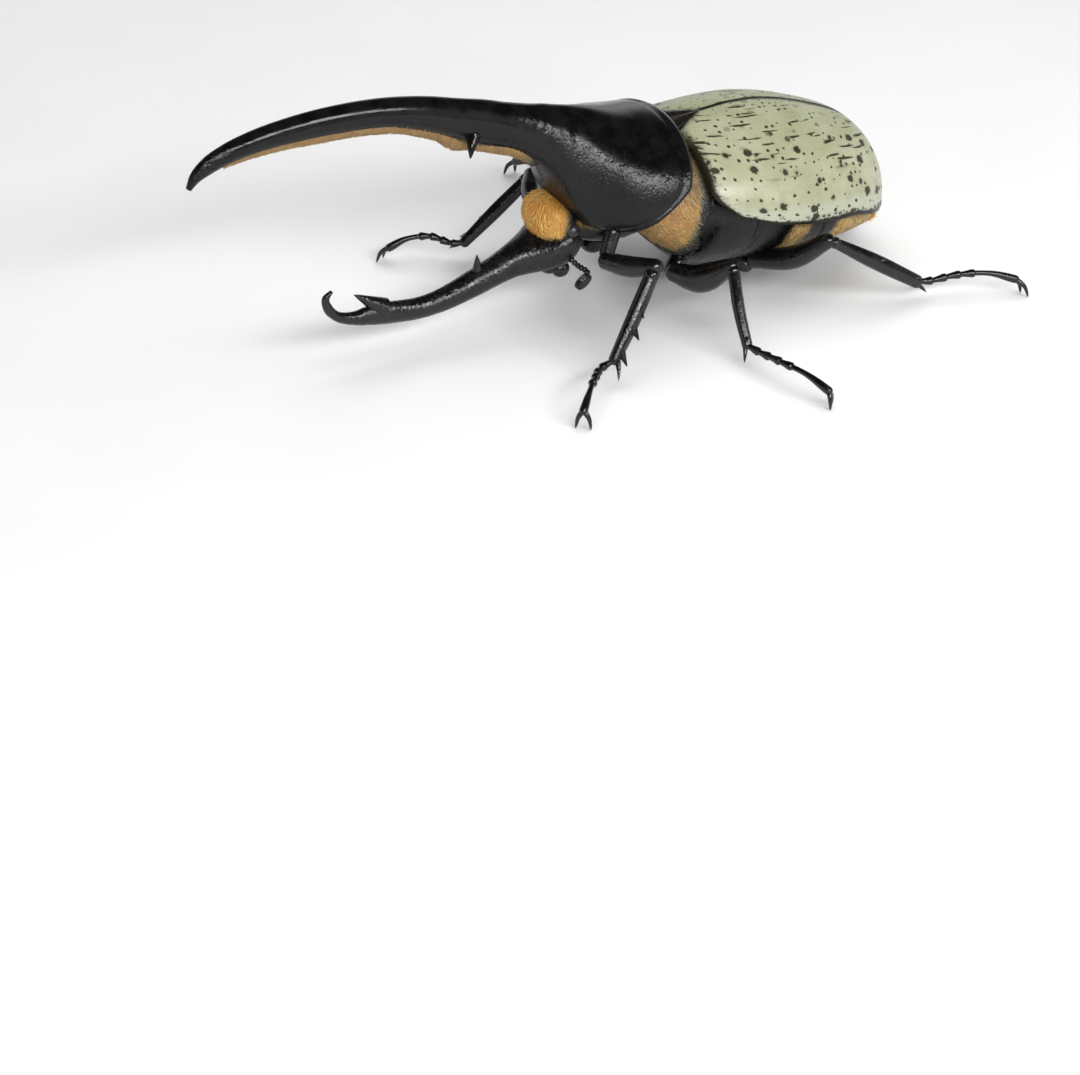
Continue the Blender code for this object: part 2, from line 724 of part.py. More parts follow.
def make_head_horn():
    horn = path_sweep(HEAD_HORN_PATH, 26, 10, "cephalic_horn")
    teeth = []
    for root_y, root_z, tip_y, tip_z, radius in HEAD_HORN_TEETH:
        teeth.append(spike((0, root_y, root_z), (0, tip_y, tip_z), radius, "tooth", blunt=0.14, steps=4))
    horn = fuse("cephalic_horn", [horn, *teeth])
    cut(horn, [slab((-30, HEAD_HORN_ROOT - SUTURE, -5), (30, -20, 60))])
    return horn


def wing_front(x, z_share):
    """Where a wing cover begins: behind the scutellum's edge, and further back at its side."""
    edge = abs(SCUTELLUM_FRONT - SCUTELLUM_TIP)
    beside_scutellum = SCUTELLUM_TIP + 2.0 * FIT - edge * min(x / SCUTELLUM_HALF, 1.0)
    shoulder = WING_SHOULDER + WING_SIDE_SETBACK * max(0.0, 1.0 - z_share * WING_CORNER) ** WING_CORNER
    return max(beside_scutellum, shoulder)


def make_wing(side, name):
    across = 13
    along = 20
    rings = []
    angles = spaced(0.0, 0.5 * math.pi, across)
    for s in range(along):
        share = (s / (along - 1)) ** 0.9
        outer = []
        inner = []
        for angle in angles:
            rough_x = WING_STATIONS[0][1] * math.cos(angle)
            start = wing_front(rough_x, math.sin(angle))
            y = start + (WING_REAR - start) * share
            half = smooth_value(WING_STATIONS, y, 1)
            top = smooth_value(WING_STATIONS, y, 2)
            edge = smooth_value(WING_STATIONS, y, 3)
            roundness = smooth_value(WING_STATIONS, y, 4)
            thick = min(WING_THICK, 0.45 * half, 0.4 * (top - edge))
            for line, shrink in ((outer, 0.0), (inner, thick)):
                x = (half - shrink) * max(math.cos(angle), 0.0) ** (2.0 / roundness)
                z = edge + (top - edge - shrink) * math.sin(angle) ** (2.0 / roundness)
                line.append(Vector((side * max(x, SUTURE), y, z)))
        rings.append(outer + inner[::-1])
    return shell_strips(rings, across, name)


def shell_strips(rings, across, name):
    """Close a bent shell: its rings run out along the outer face and back along the inner."""
    bm = bmesh.new()
    rows = [[bm.verts.new(point) for point in ring] for ring in rings]
    count = len(rows[0])
    for row, following in zip(rows, rows[1:]):
        for i in range(count):
            j = (i + 1) % count
            bm.faces.new((row[i], row[j], following[j], following[i]))
    for row in (rows[0], rows[-1]):
        for i in range(across - 1):
            bm.faces.new((row[i], row[i + 1], row[count - 2 - i], row[count - 1 - i]))
    return mesh_from(bm, name)


def make_scutellum():
    bm = bmesh.new()
    corners = (
        (-SCUTELLUM_HALF, SCUTELLUM_FRONT),
        (SCUTELLUM_HALF, SCUTELLUM_FRONT),
        (0.6, SCUTELLUM_TIP),
        (-0.6, SCUTELLUM_TIP),
    )
    lower = [bm.verts.new((x, y, SCUTELLUM_TOP - 2.4)) for x, y in corners]
    upper = [bm.verts.new((x * 0.94, y, SCUTELLUM_TOP - 0.4)) for x, y in corners]
    crest = [bm.verts.new((0.0, y, SCUTELLUM_TOP)) for y in (SCUTELLUM_FRONT, SCUTELLUM_TIP)]
    bm.faces.new(lower)
    bm.faces.new((upper[0], crest[0], crest[1], upper[3]))
    bm.faces.new((crest[0], upper[1], upper[2], crest[1]))
    bm.faces.new((lower[1], lower[2], upper[2], upper[1]))
    bm.faces.new((lower[3], lower[0], upper[0], upper[3]))
    bm.faces.new((lower[0], lower[1], upper[1], crest[0], upper[0]))
    bm.faces.new((lower[2], lower[3], upper[3], crest[1], upper[2]))
    return mesh_from(bm, "scutellum")


def trunk_ring(y, sides):
    half = smooth_value(TRUNK_STATIONS, y, 1)
    level = smooth_value(TRUNK_STATIONS, y, 2)
    bottom = smooth_value(TRUNK_STATIONS, y, 3)
    low_power = smooth_value(TRUNK_STATIONS, y, 4)
    if y < WING_STATIONS[0][0]:
        top = TRUNK_FRONT_TOP - TRUNK_CLEARANCE
        limit = half
    else:
        top = smooth_value(WING_STATIONS, y, 2) - TRUNK_CLEARANCE
        limit = smooth_value(WING_STATIONS, y, 1) - TRUNK_CLEARANCE
    top = max(top, level + 1.0)
    return body_ring(y, min(half, limit), level, top, bottom, TRUNK_POWER, sides, low_power)


def trunk_between(first, last, steps, name):
    return skin_rings([trunk_ring(y, 22) for y in spaced(first, last, steps)], name)


def make_trunk():
    front = trunk_between(TRUNK_STATIONS[0][0], ABDOMEN_FRONT - SUTURE, 13, "thorax")
    backward = plane_normal(PILE_PLANE_LOW, PILE_PLANE_HIGH)
    forward = (-backward[0], -backward[1])
    length = math.hypot(*backward)
    shift = (backward[0] / length * SUTURE, backward[1] / length * SUTURE)
    pile = front.copy()
    pile.data = front.data.copy()
    bpy.context.scene.collection.objects.link(pile)
    pile.name = "thorax_pile"
    behind = (PILE_PLANE_LOW[0] - shift[0], PILE_PLANE_LOW[1] - shift[1])
    before = (PILE_PLANE_LOW[0] + shift[0], PILE_PLANE_LOW[1] + shift[1])
    cut(pile, [half_space(behind, backward)])
    cut(front, [half_space(before, forward)])
    front.name = "metathorax"
    abdomen = trunk_between(ABDOMEN_FRONT + SUTURE, TAIL_FRONT - SUTURE, 9, "abdomen")
    return pile, front, abdomen


def make_tail():
    """The notched fringe of the tail end, a row of blunt lobes on the last ring."""
    core = trunk_between(TAIL_FRONT + SUTURE, TRUNK_STATIONS[-1][0], 4, "tail_fringe")
    lobes = []
    for degrees in spaced(-TAIL_SWING, TAIL_SWING, TAIL_NOTCHES):
        swing = math.radians(degrees)
        x = TAIL_HALF * math.sin(swing)
        y = TAIL_FRONT + 0.4 + TAIL_REACH * math.cos(swing)
        z = TAIL_LEVEL + LOBE_DROP * abs(math.sin(swing))
        tip = (x * 1.2, y + LOBE_LENGTH * math.cos(swing), z - LOBE_DROP)
        root = (x * 0.7, y - LOBE_RADIUS, z)
        lobes.append(spike(root, tip, LOBE_RADIUS, "lobe", sides=5, blunt=0.45, steps=2))
    fringe = fuse("tail_fringe", [core, *lobes])
    return cut(fringe, [slab((-30, 0, -5), (30, TAIL_FRONT + SUTURE, 60))])


def make_prothorax():
    plate = body_loft(PROTHORAX_STATIONS, 2.2, 7, 14, "prothorax_underside")
    knob = ellipsoid(PROSTERNUM_CENTRE, PROSTERNUM_RADII, "knob", segments=10, rings=6)
    return fuse("prothorax_underside", [plate, knob])


def make_eye(side, name):
    centre = (EYE_CENTRE[0] * side, EYE_CENTRE[1], EYE_CENTRE[2])
    return ellipsoid(centre, (EYE_RADIUS,) * 3, name, segments=12, rings=7)


def make_antenna(side, name):
    path = [(x * side, y, z) for x, y, z in ANTENNA_PATH]
    stem = sweep(curve_points(path, 6), [(ANTENNA_RADIUS, ANTENNA_RADIUS)] * 6, "stem", sides=6,
                 side_axis=Vector((0, 0, 1)))
    turn = Matrix.Rotation(math.radians(CLUB_PITCH), 3, "X")
    centre = (CLUB_CENTRE[0] * side, CLUB_CENTRE[1], CLUB_CENTRE[2])
    club = ellipsoid(centre, CLUB_RADII, "club", turn=turn, segments=10, rings=7)
    return fuse(name, [club, stem])


def make_mouth():
    lobes = []
    for x, y, z, radius_x, radius_y, radius_z in MOUTH_LOBES:
        lobes.append(ellipsoid((x, y, z), (radius_x, radius_y, radius_z), "lobe", segments=8, rings=6))
    return fuse("mouthparts", lobes)


# Legs

def limb(points, radii, steps, sides, name):
    """A limb of round section with domed ends."""
    line = curve_points(points, steps)
    sizes = curve_points([(radius, 0.0, 0.0) for radius in radii], steps)
    first = (line[0] - line[1]).normalized()
    last = (line[-1] - line[-2]).normalized()
    start = sizes[0].x
    end = sizes[-1].x
    path = [line[0] + first * start * 0.62, line[0] + first * start * 0.4]
    thick = [start * 0.35, start * 0.78]
    path.extend(line)
    thick.extend(size.x for size in sizes)
    path.extend((line[-1] + last * end * 0.4, line[-1] + last * end * 0.62))
    thick.extend((end * 0.78, end * 0.35))
    axis = Vector((0, 0, 1)) if abs(first.z) < 0.8 else Vector((1, 0, 0))
    return sweep(path, [(size, size) for size in thick], name, sides=sides, side_axis=axis)


def outward(leg, along):
    """The direction across a shin that its teeth point to: away from the body and up."""
    side = 1.0 if "left" in leg else -1.0
    lean = {"front": Vector((side, 0.45, 0.1)), "middle": Vector((0.25 * side, -0.2, 1.0)),
            "hind": Vector((0.75 * side, 0.1, 0.8))}[leg.split("_")[0]]
    return (lean - along * lean.dot(along)).normalized()


def make_shin(leg, name):
    pair = leg.split("_")[0]
    radii = LEG_SIZES[pair][3:]
    shaft = limb(LEGS[leg]["tibia"], radii, 7, 8, name)
    line = curve_points(LEGS[leg]["tibia"], SHIN_STEPS)
    thickness = curve_points([(radius, 0.0, 0.0) for radius in radii], SHIN_STEPS)
    end = line[-1]
    along = (end - line[0]).normalized()
    out = outward(leg, along)
    sideways = out.cross(along)
    pieces = [shaft]
    for place, reach, radius in SHIN_TEETH[pair]:
        index = round(place * (SHIN_STEPS - 1))
        base = line[index]
        tip = base + out * (thickness[index].x + reach * TOOTH_RISE) + along * (reach * TOOTH_SLANT)
        pieces.append(spike(base, tip, radius + TOOTH_FOOT, "tooth", sides=5, blunt=0.25, steps=2))
    for toward_teeth, aside in SPUR_TIPS[pair]:
        lean = out * toward_teeth + sideways * aside
        root = end + lean * SPUR_START
        tip = end + along * SPUR_LENGTH + lean
        pieces.append(spike(root, tip, SPUR_RADIUS, "spur", sides=5, blunt=0.35, steps=2))
    return fuse(name, pieces)


def make_foot(leg, name):
    """Four beads, one long curved joint and two claws, whose tips end on the floor."""
    points = curve_points(LEGS[leg]["tarsus"], FOOT_STEPS)
    last_bead = int(BEAD_SHARE * (FOOT_STEPS - 1))
    path = []
    thick = []
    count = BEADS * BEAD_STEPS
    for i in range(count + 1):
        place = i / count * last_bead
        k = min(int(place), last_bead - 1)
        path.append(points[k].lerp(points[k + 1], place - k))
        phase = (i % BEAD_STEPS) / BEAD_STEPS
        thick.append(BEAD_RADIUS * (BEAD_WAIST + BEAD_FLARE * phase))
    rest = points[last_bead + 3:: 3]
    for i, point in enumerate(rest):
        share = (i + 1) / len(rest)
        path.append(point)
        thick.append(LAST_JOINT_RADIUS * (0.85 + 0.35 * share))
    joints = sweep(path, [(size, size) for size in thick], name, sides=6, side_axis=Vector((0, 0, 1)))
    end = path[-1]
    pieces = [joints]
    for tip in LEGS[leg]["claws"]:
        tip = Vector(tip)
        outward_bend = Vector((tip.x - end.x, tip.y - end.y, 0.0)) * 0.28 + Vector((0, 0, CLAW_ARCH))
        start = end - (tip - end).normalized() * 0.3
        pieces.append(spike(start, tip, CLAW_RADIUS, "claw", sides=5, blunt=0.72, bend=outward_bend, steps=4))
    foot = fuse(name, pieces)
    cut(foot, [slab((-90, -150, -6), (90, 90, 0))])
    return foot


def make_leg(leg):
    """The four lengths of a leg, each cut clear of the one before it."""
    pair = leg.split("_")[0]
    root_radius, mid_radius, knee_radius = LEG_SIZES[pair][:3]
    names = [length + "_" + leg for length in ("coxa", "femur", "tibia", "tarsus")]
    coxa_radius = COXA_RADII[pair]
    coxa = limb(LEGS[leg]["coxa"], (coxa_radius, coxa_radius * COXA_TAPER), 3, 8, names[0])
    femur = limb(LEGS[leg]["femur"], (root_radius, mid_radius, knee_radius), 7, 10, names[1])
    shin = make_shin(leg, names[2])
    foot = make_foot(leg, names[3])
    cut(coxa, [grown(femur)])
    cut(shin, [grown(femur)])
    cut(foot, [grown(shin)])
    return coxa, femur, shin, foot


def clear_scene():
    for old in list(bpy.data.objects):
        bpy.data.objects.remove(old)


def main():
    clear_scene()
    pronotum = make_pronotum()
    horn = make_thoracic_horn()
    horn_pile = make_horn_pile()
    head = make_head()
    head_horn = make_head_horn()
    cut(head, [slab((-30, -60, -5), (30, HEAD_HORN_ROOT + SUTURE, 60))])
    cut(head, [grown(pronotum)])
    prothorax = make_prothorax()
    cut(prothorax, [grown(pronotum), grown(head)])
    neck_pile = ellipsoid(NECK_PILE_CENTRE, NECK_PILE_RADII, "neck_pile", segments=14, rings=9)
    cut(neck_pile, [grown(pronotum), grown(horn_pile), grown(prothorax)])
    eyes = [make_eye(1, "eye_left"), make_eye(-1, "eye_right")]
    for eye in eyes:
        cut(eye, [grown(pronotum)])
        cut(prothorax, [grown(eye)])
        cut(head, [grown(eye)])
        cut(neck_pile, [grown(eye)])
    cut(neck_pile, [grown(head), grown(head_horn)])
    mouth = make_mouth()
    cut(mouth, [grown(head), grown(head_horn)])
    antennae = [make_antenna(1, "antenna_left"), make_antenna(-1, "antenna_right")]
    for antenna in antennae:
        cut(antenna, [grown(head)])

    wings = [make_wing(1, "elytron_left"), make_wing(-1, "elytron_right")]
    scutellum = make_scutellum()
    thorax_pile, metathorax, abdomen = make_trunk()
    tail = make_tail()
    cut(scutellum, [grown(pronotum), *[grown(wing) for wing in wings]])
    cut(thorax_pile, [grown(pronotum), grown(prothorax), grown(scutellum)])
    for trunk_piece in (thorax_pile, metathorax, abdomen, tail):
        cut(trunk_piece, [grown(wing) for wing in wings])
    cut(metathorax, [grown(scutellum)])

    legs = {leg: make_leg(leg) for leg in LEGS}
    for leg, (coxa, femur, shin, foot) in legs.items():
        body = {"front": (prothorax, pronotum), "middle": (metathorax, thorax_pile),
                "hind": (metathorax, abdomen)}[leg.split("_")[0]]
        for piece in (coxa, femur):
            cut(piece, [grown(part) for part in body])

    for part in (pronotum, horn, head, head_horn, scutellum, prothorax, metathorax, mouth, *antennae):
        finish(part, "black")
    for part in (horn_pile, neck_pile, thorax_pile, tail):
        finish(part, "pile")
    for part in wings:
        finish(part, "wing")
    for part in eyes:
        finish(part, "eye")
    finish(abdomen, "belly")
    for lengths in legs.values():
        for part in lengths:
            finish(part, "leg")
    for part in bpy.data.objects:
        part.location.y += MIDDLE_Y * MM
        part.name = part.name.split(".")[0]


main()
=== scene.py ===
import math

import bmesh
import bpy
import numpy as np
from mathutils import Matrix, Vector


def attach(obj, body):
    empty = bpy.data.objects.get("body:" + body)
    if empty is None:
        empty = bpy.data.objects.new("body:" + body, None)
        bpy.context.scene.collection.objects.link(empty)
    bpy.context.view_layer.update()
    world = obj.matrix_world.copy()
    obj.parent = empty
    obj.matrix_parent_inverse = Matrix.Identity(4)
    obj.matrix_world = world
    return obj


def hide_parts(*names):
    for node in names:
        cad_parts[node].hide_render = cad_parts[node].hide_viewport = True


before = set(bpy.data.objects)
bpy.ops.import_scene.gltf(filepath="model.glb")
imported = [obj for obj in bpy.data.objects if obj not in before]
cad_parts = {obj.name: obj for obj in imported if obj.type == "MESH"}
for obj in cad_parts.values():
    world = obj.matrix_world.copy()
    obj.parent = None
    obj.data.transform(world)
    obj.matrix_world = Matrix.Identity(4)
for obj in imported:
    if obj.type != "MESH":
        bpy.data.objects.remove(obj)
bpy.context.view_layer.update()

MM = 0.001
MIDDLE_Y = 26.9
TAU = 2.0 * math.pi

# Measured body of the figure. A relief is given as its height, distance and width.

WING_STATIONS = (
    # y, half width, top, lower edge, roundness of the section
    (-9.5, 18.0, 37.0, 24.6, 1.85),
    (-5.0, 19.7, 37.6, 24.4, 1.85),
    (0.0, 21.1, 37.8, 22.9, 1.85),
    (6.0, 21.9, 38.1, 20.8, 1.85),
    (12.0, 22.2, 37.7, 19.5, 1.87),
    (19.0, 21.8, 36.2, 18.2, 1.9),
    (26.0, 20.5, 33.8, 17.2, 1.95),
    (32.0, 18.2, 31.3, 15.0, 2.1),
    (36.0, 15.4, 29.0, 13.4, 2.3),
    (38.5, 12.7, 26.4, 12.2, 2.45),
    (41.0, 9.9, 22.2, 11.4, 2.55),
    (42.6, 6.6, 17.6, 11.0, 2.6),
    (43.4, 3.4, 14.4, 10.8, 2.6),
    (43.8, 1.2, 12.9, 10.6, 2.4),
)
WING_THICK = 1.2
WING_SHOULDER = -7.4
WING_SIDE_SETBACK = 5.4
WING_CORNER = 2.3
WING_POINTS_ACROSS = 57
WING_ROWS = 118
WING_ROW_CROWDING = 0.95
WING_RELIEF = (
    # the measure it follows, then its height, distance and width
    ("from_margin", (0.16, 0.45, 0.35)),
    ("from_margin", (-0.14, 1.15, 0.35)),
    ("from_seam", (0.13, 0.35, 0.3)),
    ("from_seam", (-0.1, 1.0, 0.35)),
    ("from_front", (-0.3, 0.0, 0.35)),
)
SUTURE = 0.12

SCUTELLUM_HALF = 5.6
SCUTELLUM_FRONT = -9.2
SCUTELLUM_TIP = -0.5
SCUTELLUM_TOP = 38.0
SCUTELLUM_THICK = 2.4
SCUTELLUM_EDGE = 0.75
SCUTELLUM_FALL = 0.12
SCUTELLUM_TAPER = 0.85
SCUTELLUM_ROUNDNESS = 3.2
SCUTELLUM_CREASE = (-0.16, 0.0, 0.5)

DOME_STATIONS = (
    # y, half width, widest level, top, bottom, roundness above and below that level
    (-47.0, 3.3, 45.2, 50.0, 40.6, 2.0, 2.0),
    (-44.0, 3.6, 44.0, 49.2, 39.4, 2.0, 2.0),
    (-41.0, 4.1, 42.4, 48.3, 37.6, 2.0, 2.0),
    (-38.5, 5.0, 40.0, 47.6, 35.4, 1.95, 1.95),
    (-36.0, 6.5, 35.8, 47.1, 31.8, 1.85, 1.95),
    (-33.5, 8.8, 30.4, 46.4, 26.4, 1.75, 2.05),
    (-30.5, 11.2, 27.0, 45.6, 22.0, 1.7, 2.2),
    (-27.0, 14.3, 26.0, 44.6, 21.1, 1.75, 2.3),
    (-23.5, 16.9, 26.0, 43.5, 21.1, 1.85, 2.3),
    (-20.0, 18.3, 26.4, 42.4, 21.2, 1.92, 2.2),
    (-16.0, 18.8, 27.2, 41.4, 21.4, 1.95, 2.0),
    (-12.0, 18.8, 27.6, 40.7, 21.4, 1.95, 1.95),
    (-8.5, 18.6, 27.6, 39.8, 21.4, 1.95, 1.95),
    (-4.0, 18.2, 27.6, 37.4, 21.4, 1.95, 1.95),
)
DOME_RIM_TOP = (-9.2, 39.4)
DOME_RIM_LOW = (-16.9, 22.4)
DOME_CORNER_TOP = (-16.4, 28.9)
DOME_CORNER_LOW = (-23.1, 24.2)
DOME_FAN_FRONT = -30.5
DOME_FAN_SHARES = (0.0, 0.15, 0.3, 0.45, 0.6, 0.75, 0.88, 1.0)
DOME_SIDES = 112
RIM_TURN = (
    # how far the rear rim turns inwards and forwards
    (0.35, -0.05),
    (0.8, 0.25),
    (1.2, 0.9),
    (1.5, 2.2),
)
RIM_BEAD = (0.24, 0.5, 0.42)
RIM_GROOVE = (-0.2, 1.45, 0.4)
RIM_SLANT = 0.83

GREAT_HORN = (
    # y, z, half height, half width
    (-111.0, 46.9, 0.55, 0.5),
    (-109.7, 48.8, 1.15, 0.85),
    (-107.2, 50.6, 1.7, 1.25),
    (-103.5, 52.1, 1.9, 1.65),
    (-98.0, 53.3, 2.15, 1.95),
    (-90.0, 53.95, 2.53, 2.2),
    (-80.0, 53.9, 2.83, 2.4),
    (-70.0, 52.95, 2.95, 2.7),
    (-62.0, 50.8, 3.55, 2.9),
    (-56.0, 48.65, 4.0, 3.0),
    (-50.0, 46.5, 4.5, 3.2),
)
HORN_TOOTH_TIP = (4.5, -54.8, 41.8)
HORN_TOOTH_ROOT = (2.1, -52.8, 45.2)
HORN_TOOTH_RADIUS = 1.45

HORN_HAIR = (
    # y, thickness, share of the shell's width that it covers
    (-104.0, 0.6, 0.45),
    (-100.0, 1.1, 0.6),
    (-90.0, 1.35, 0.7),
    (-78.0, 1.5, 0.7),
    (-66.0, 1.6, 0.7),
    (-60.0, 1.7, 0.7),
    (-57.4, 2.5, 0.6),
    (-55.0, 2.9, 0.42),
    (-52.0, 2.1, 0.4),
    (-48.6, 1.7, 0.5),
    (-44.0, 1.4, 0.62),
    (-40.6, 1.1, 0.55),
    (-38.4, 0.8, 0.45),
)
HORN_HAIR_SUNK = 0.3
HORN_HAIR_HANG = 0.7
HORN_HAIR_REAR_HANG = 0.8
HORN_HAIR_ROWS = 110

LOWER_HORN = (
    # y, z, half height, half width
    (-82.4, 18.3, 0.35, 0.35),
    (-83.7, 17.1, 0.75, 0.7),
    (-83.4, 15.0, 0.95, 0.9),
    (-81.6, 12.7, 1.0, 0.95),
    (-78.0, 11.2, 1.35, 1.2),
    (-74.5, 10.9, 2.0, 1.5),
    (-71.0, 10.5, 2.3, 1.7),
    (-67.7, 10.0, 2.25, 1.85),
    (-63.5, 9.6, 2.2, 1.95),
    (-59.0, 9.9, 2.3, 2.15),
    (-54.5, 10.9, 2.5, 2.4),
    (-50.5, 12.1, 2.7, 2.7),
    (-46.3, 13.4, 2.85, 3.0),
)
LOWER_HORN_TEETH = (
    # root y, root z, tip y, tip z, root radius
    (-71.4, 11.8, -77.7, 16.3, 2.1),
    (-50.2, 12.6, -50.5, 18.1, 1.7),
)
HEAD_STATIONS = (
    # y, half width, widest level, top, bottom
    (-42.0, 3.5, 14.9, 18.2, 11.6),
    (-39.0, 4.8, 15.8, 19.2, 11.9),
    (-36.0, 6.3, 17.2, 20.4, 12.1),
    (-33.2, 7.0, 18.6, 22.0, 12.4),
    (-31.0, 6.4, 18.8, 22.2, 13.4),
    (-29.0, 4.6, 18.8, 21.4, 15.4),
    (-28.0, 2.2, 18.8, 20.2, 17.2),
)
HEAD_ROUNDNESS = 2.4
EYE_CENTRE = (6.4, -32.7, 21.9)
EYE_RADIUS = 1.4
FEELER_PATH = ((5.9, -32.6, 15.4), (7.4, -31.4, 14.0), (9.0, -30.7, 13.6), (9.8, -30.7, 13.3))
CLUB_CENTRE = (9.9, -31.9, 12.0)
CLUB_PITCH = 38.0
CLUB_LEAF_RADII = (0.36, 1.9, 1.0)
CLUB_LEAF_PLACES = (-0.55, 0.0, 0.55)
FEELER_RADIUS = 0.62
FEELER_BEADS = 6.0
FEELER_WAIST = 0.62
MOUTH_LOBES = (
    # x, y, z, radius x, radius y, radius z
    (0.0, -33.8, 12.0, 2.6, 2.6, 2.2),
    (2.1, -32.4, 11.2, 1.5, 1.9, 1.7),
    (-2.1, -32.4, 11.2, 1.5, 1.9, 1.7),
)
NECK_CENTRE = (0.0, -34.0, 22.6)
NECK_RADII = (6.9, 4.8, 4.5)

CHEST_STATIONS = (
    # y, half width, widest level, top, bottom
    (-33.4, 4.0, 21.4, 22.4, 20.2),
    (-32.0, 6.6, 21.6, 24.0, 19.0),
    (-29.0, 9.4, 22.0, 26.0, 17.8),
    (-26.0, 10.6, 22.4, 26.0, 17.2),
    (-22.0, 11.0, 22.4, 26.0, 17.0),
    (-19.0, 10.6, 22.2, 25.6, 17.2),
)
CHEST_ROUNDNESS = 2.2
CHEST_KNOB_CENTRE = (0.0, -24.0, 14.6)
CHEST_KNOB_RADII = (3.0, 2.5, 2.6)
TRUNK_STATIONS = (
    # y, half width, widest level, bottom, roundness below that level
    (-19.6, 13.4, 24.8, 20.0, 2.5),
    (-18.2, 14.6, 24.6, 18.8, 2.7),
    (-16.0, 15.6, 24.0, 17.0, 2.8),
    (-12.0, 16.6, 23.6, 13.0, 2.8),
    (-8.0, 17.6, 22.6, 8.8, 2.5),
    (-3.0, 18.6, 21.4, 6.4, 2.0),
    (3.0, 19.2, 20.2, 5.6, 1.85),
    (10.0, 19.4, 18.6, 5.1, 1.85),
    (18.0, 19.0, 17.0, 4.7, 1.85),
    (25.0, 18.0, 15.6, 4.5, 1.85),
    (31.0, 15.6, 13.6, 4.4, 1.85),
    (36.0, 12.6, 11.2, 4.6, 1.85),
    (40.0, 9.4, 9.2, 5.0, 1.85),
    (43.6, 5.4, 8.2, 5.6, 1.85),
)
TRUNK_CLEARANCE = 2.2
TRUNK_FRONT_TOP = 37.6
TRUNK_ROUNDNESS = 1.85
HAIR_PLANE_LOW = (-11.0, 14.0)
HAIR_PLANE_HIGH = (-2.8, 36.0)
TAIL_FRONT = 39.6
TAIL_END = 44.4
TAIL_LAST_SECTION = 43.6
TAIL_TOP_SHARE = 0.75
ABDOMEN_FRONT = 14.0
ABDOMEN_END = 43.9
ABDOMEN_SEAMS = (14.0, 19.5, 25.0, 30.0, 34.6, 38.9)
ABDOMEN_LAP = (-0.55, 0.0, 0.45)
ABDOMEN_SUNK = 0.2
CHEST_SEAM = (-0.35, 0.0, 0.4)
SIDE_PLATE_SEAM = (-0.4, 0.0, 0.45)

LEGS = {
    "front_left": {
        "coxa": ((11.6, -26.6, 22.4), (12.6, -28.4, 18.6)),
        "femur": ((14.2, -29.4, 18.0), (19.6, -27.6, 18.9), (25.0, -25.1, 20.8)),
        "tibia": ((25.5, -26.2, 19.5), (27.4, -31.2, 12.2), (29.2, -36.4, 5.3)),
        "tarsus": ((29.3, -38.6, 4.7), (33.4, -43.4, 5.3), (37.6, -47.4, 5.0), (40.0, -49.9, 3.6)),
        "claws": ((39.7, -51.4, 0.05), (41.7, -49.1, 0.05)),
    },
    "front_right": {
        "coxa": ((-11.6, -26.6, 22.4), (-12.6, -28.4, 18.6)),
        "femur": ((-14.2, -29.2, 17.8), (-18.6, -27.2, 18.1), (-23.0, -24.5, 18.9)),
        "tibia": ((-23.2, -25.6, 17.8), (-24.6, -32.4, 11.4), (-25.4, -38.8, 5.8)),
        "tarsus": ((-26.4, -40.2, 5.4), (-30.6, -44.2, 6.1), (-32.6, -48.8, 5.6), (-33.6, -52.0, 4.0)),
        "claws": ((-35.6, -54.0, 0.05), (-36.8, -51.8, 0.05)),
    },
    "middle_left": {
        "coxa": ((8.4, -8.2, 10.6), (9.6, -10.6, 9.0)),
        "femur": ((11.2, -11.0, 9.2), (17.0, -9.4, 10.2), (24.3, -6.4, 15.8)),
        "tibia": ((25.2, -6.6, 15.2), (30.4, -8.4, 9.4), (35.0, -9.2, 4.1)),
        "tarsus": ((36.8, -9.0, 4.1), (44.4, -8.0, 4.9), (51.2, -6.2, 4.9), (56.0, -4.5, 3.4)),
        "claws": ((57.7, -5.0, 0.05), (56.0, -3.4, 0.05)),
    },
    "middle_right": {
        "coxa": ((-8.4, -8.2, 10.6), (-9.6, -10.6, 9.0)),
        "femur": ((-11.2, -11.0, 9.2), (-17.4, -9.2, 10.8), (-24.6, -6.0, 15.6)),
        "tibia": ((-25.6, -6.0, 15.0), (-31.4, -6.3, 10.2), (-36.9, -6.4, 6.0)),
        "tarsus": ((-38.6, -6.4, 5.8), (-44.4, -7.2, 6.6), (-50.8, -8.4, 5.8), (-55.6, -9.0, 3.9)),
        "claws": ((-57.7, -10.6, 0.05), (-57.6, -7.8, 0.05)),
    },
    "hind_left": {
        "coxa": ((9.2, 5.2, 6.6), (11.0, 6.6, 6.4)),
        "femur": ((12.6, 7.6, 8.2), (19.6, 11.6, 10.8), (26.1, 15.4, 16.7)),
        "tibia": ((26.8, 16.6, 16.3), (28.8, 25.6, 10.7), (30.8, 35.2, 4.6)),
        "tarsus": ((31.3, 37.4, 4.3), (33.2, 43.8, 5.0), (36.0, 50.6, 4.9), (38.4, 55.0, 3.6)),
        "claws": ((40.8, 57.0, 0.05), (38.6, 56.7, 0.05)),
    },
    "hind_right": {
        "coxa": ((-9.2, 5.2, 6.6), (-11.0, 6.6, 6.4)),
        "femur": ((-12.6, 7.6, 8.2), (-20.6, 11.2, 10.4), (-28.0, 15.2, 14.2)),
        "tibia": ((-28.8, 16.2, 13.6), (-30.8, 24.6, 9.0), (-32.6, 32.8, 4.9)),
        "tarsus": ((-33.2, 34.4, 4.8), (-37.0, 39.8, 5.8), (-41.4, 45.4, 5.6), (-45.3, 50.2, 3.7)),
        "claws": ((-47.6, 51.4, 0.05), (-45.0, 53.4, 0.05)),
    },
}
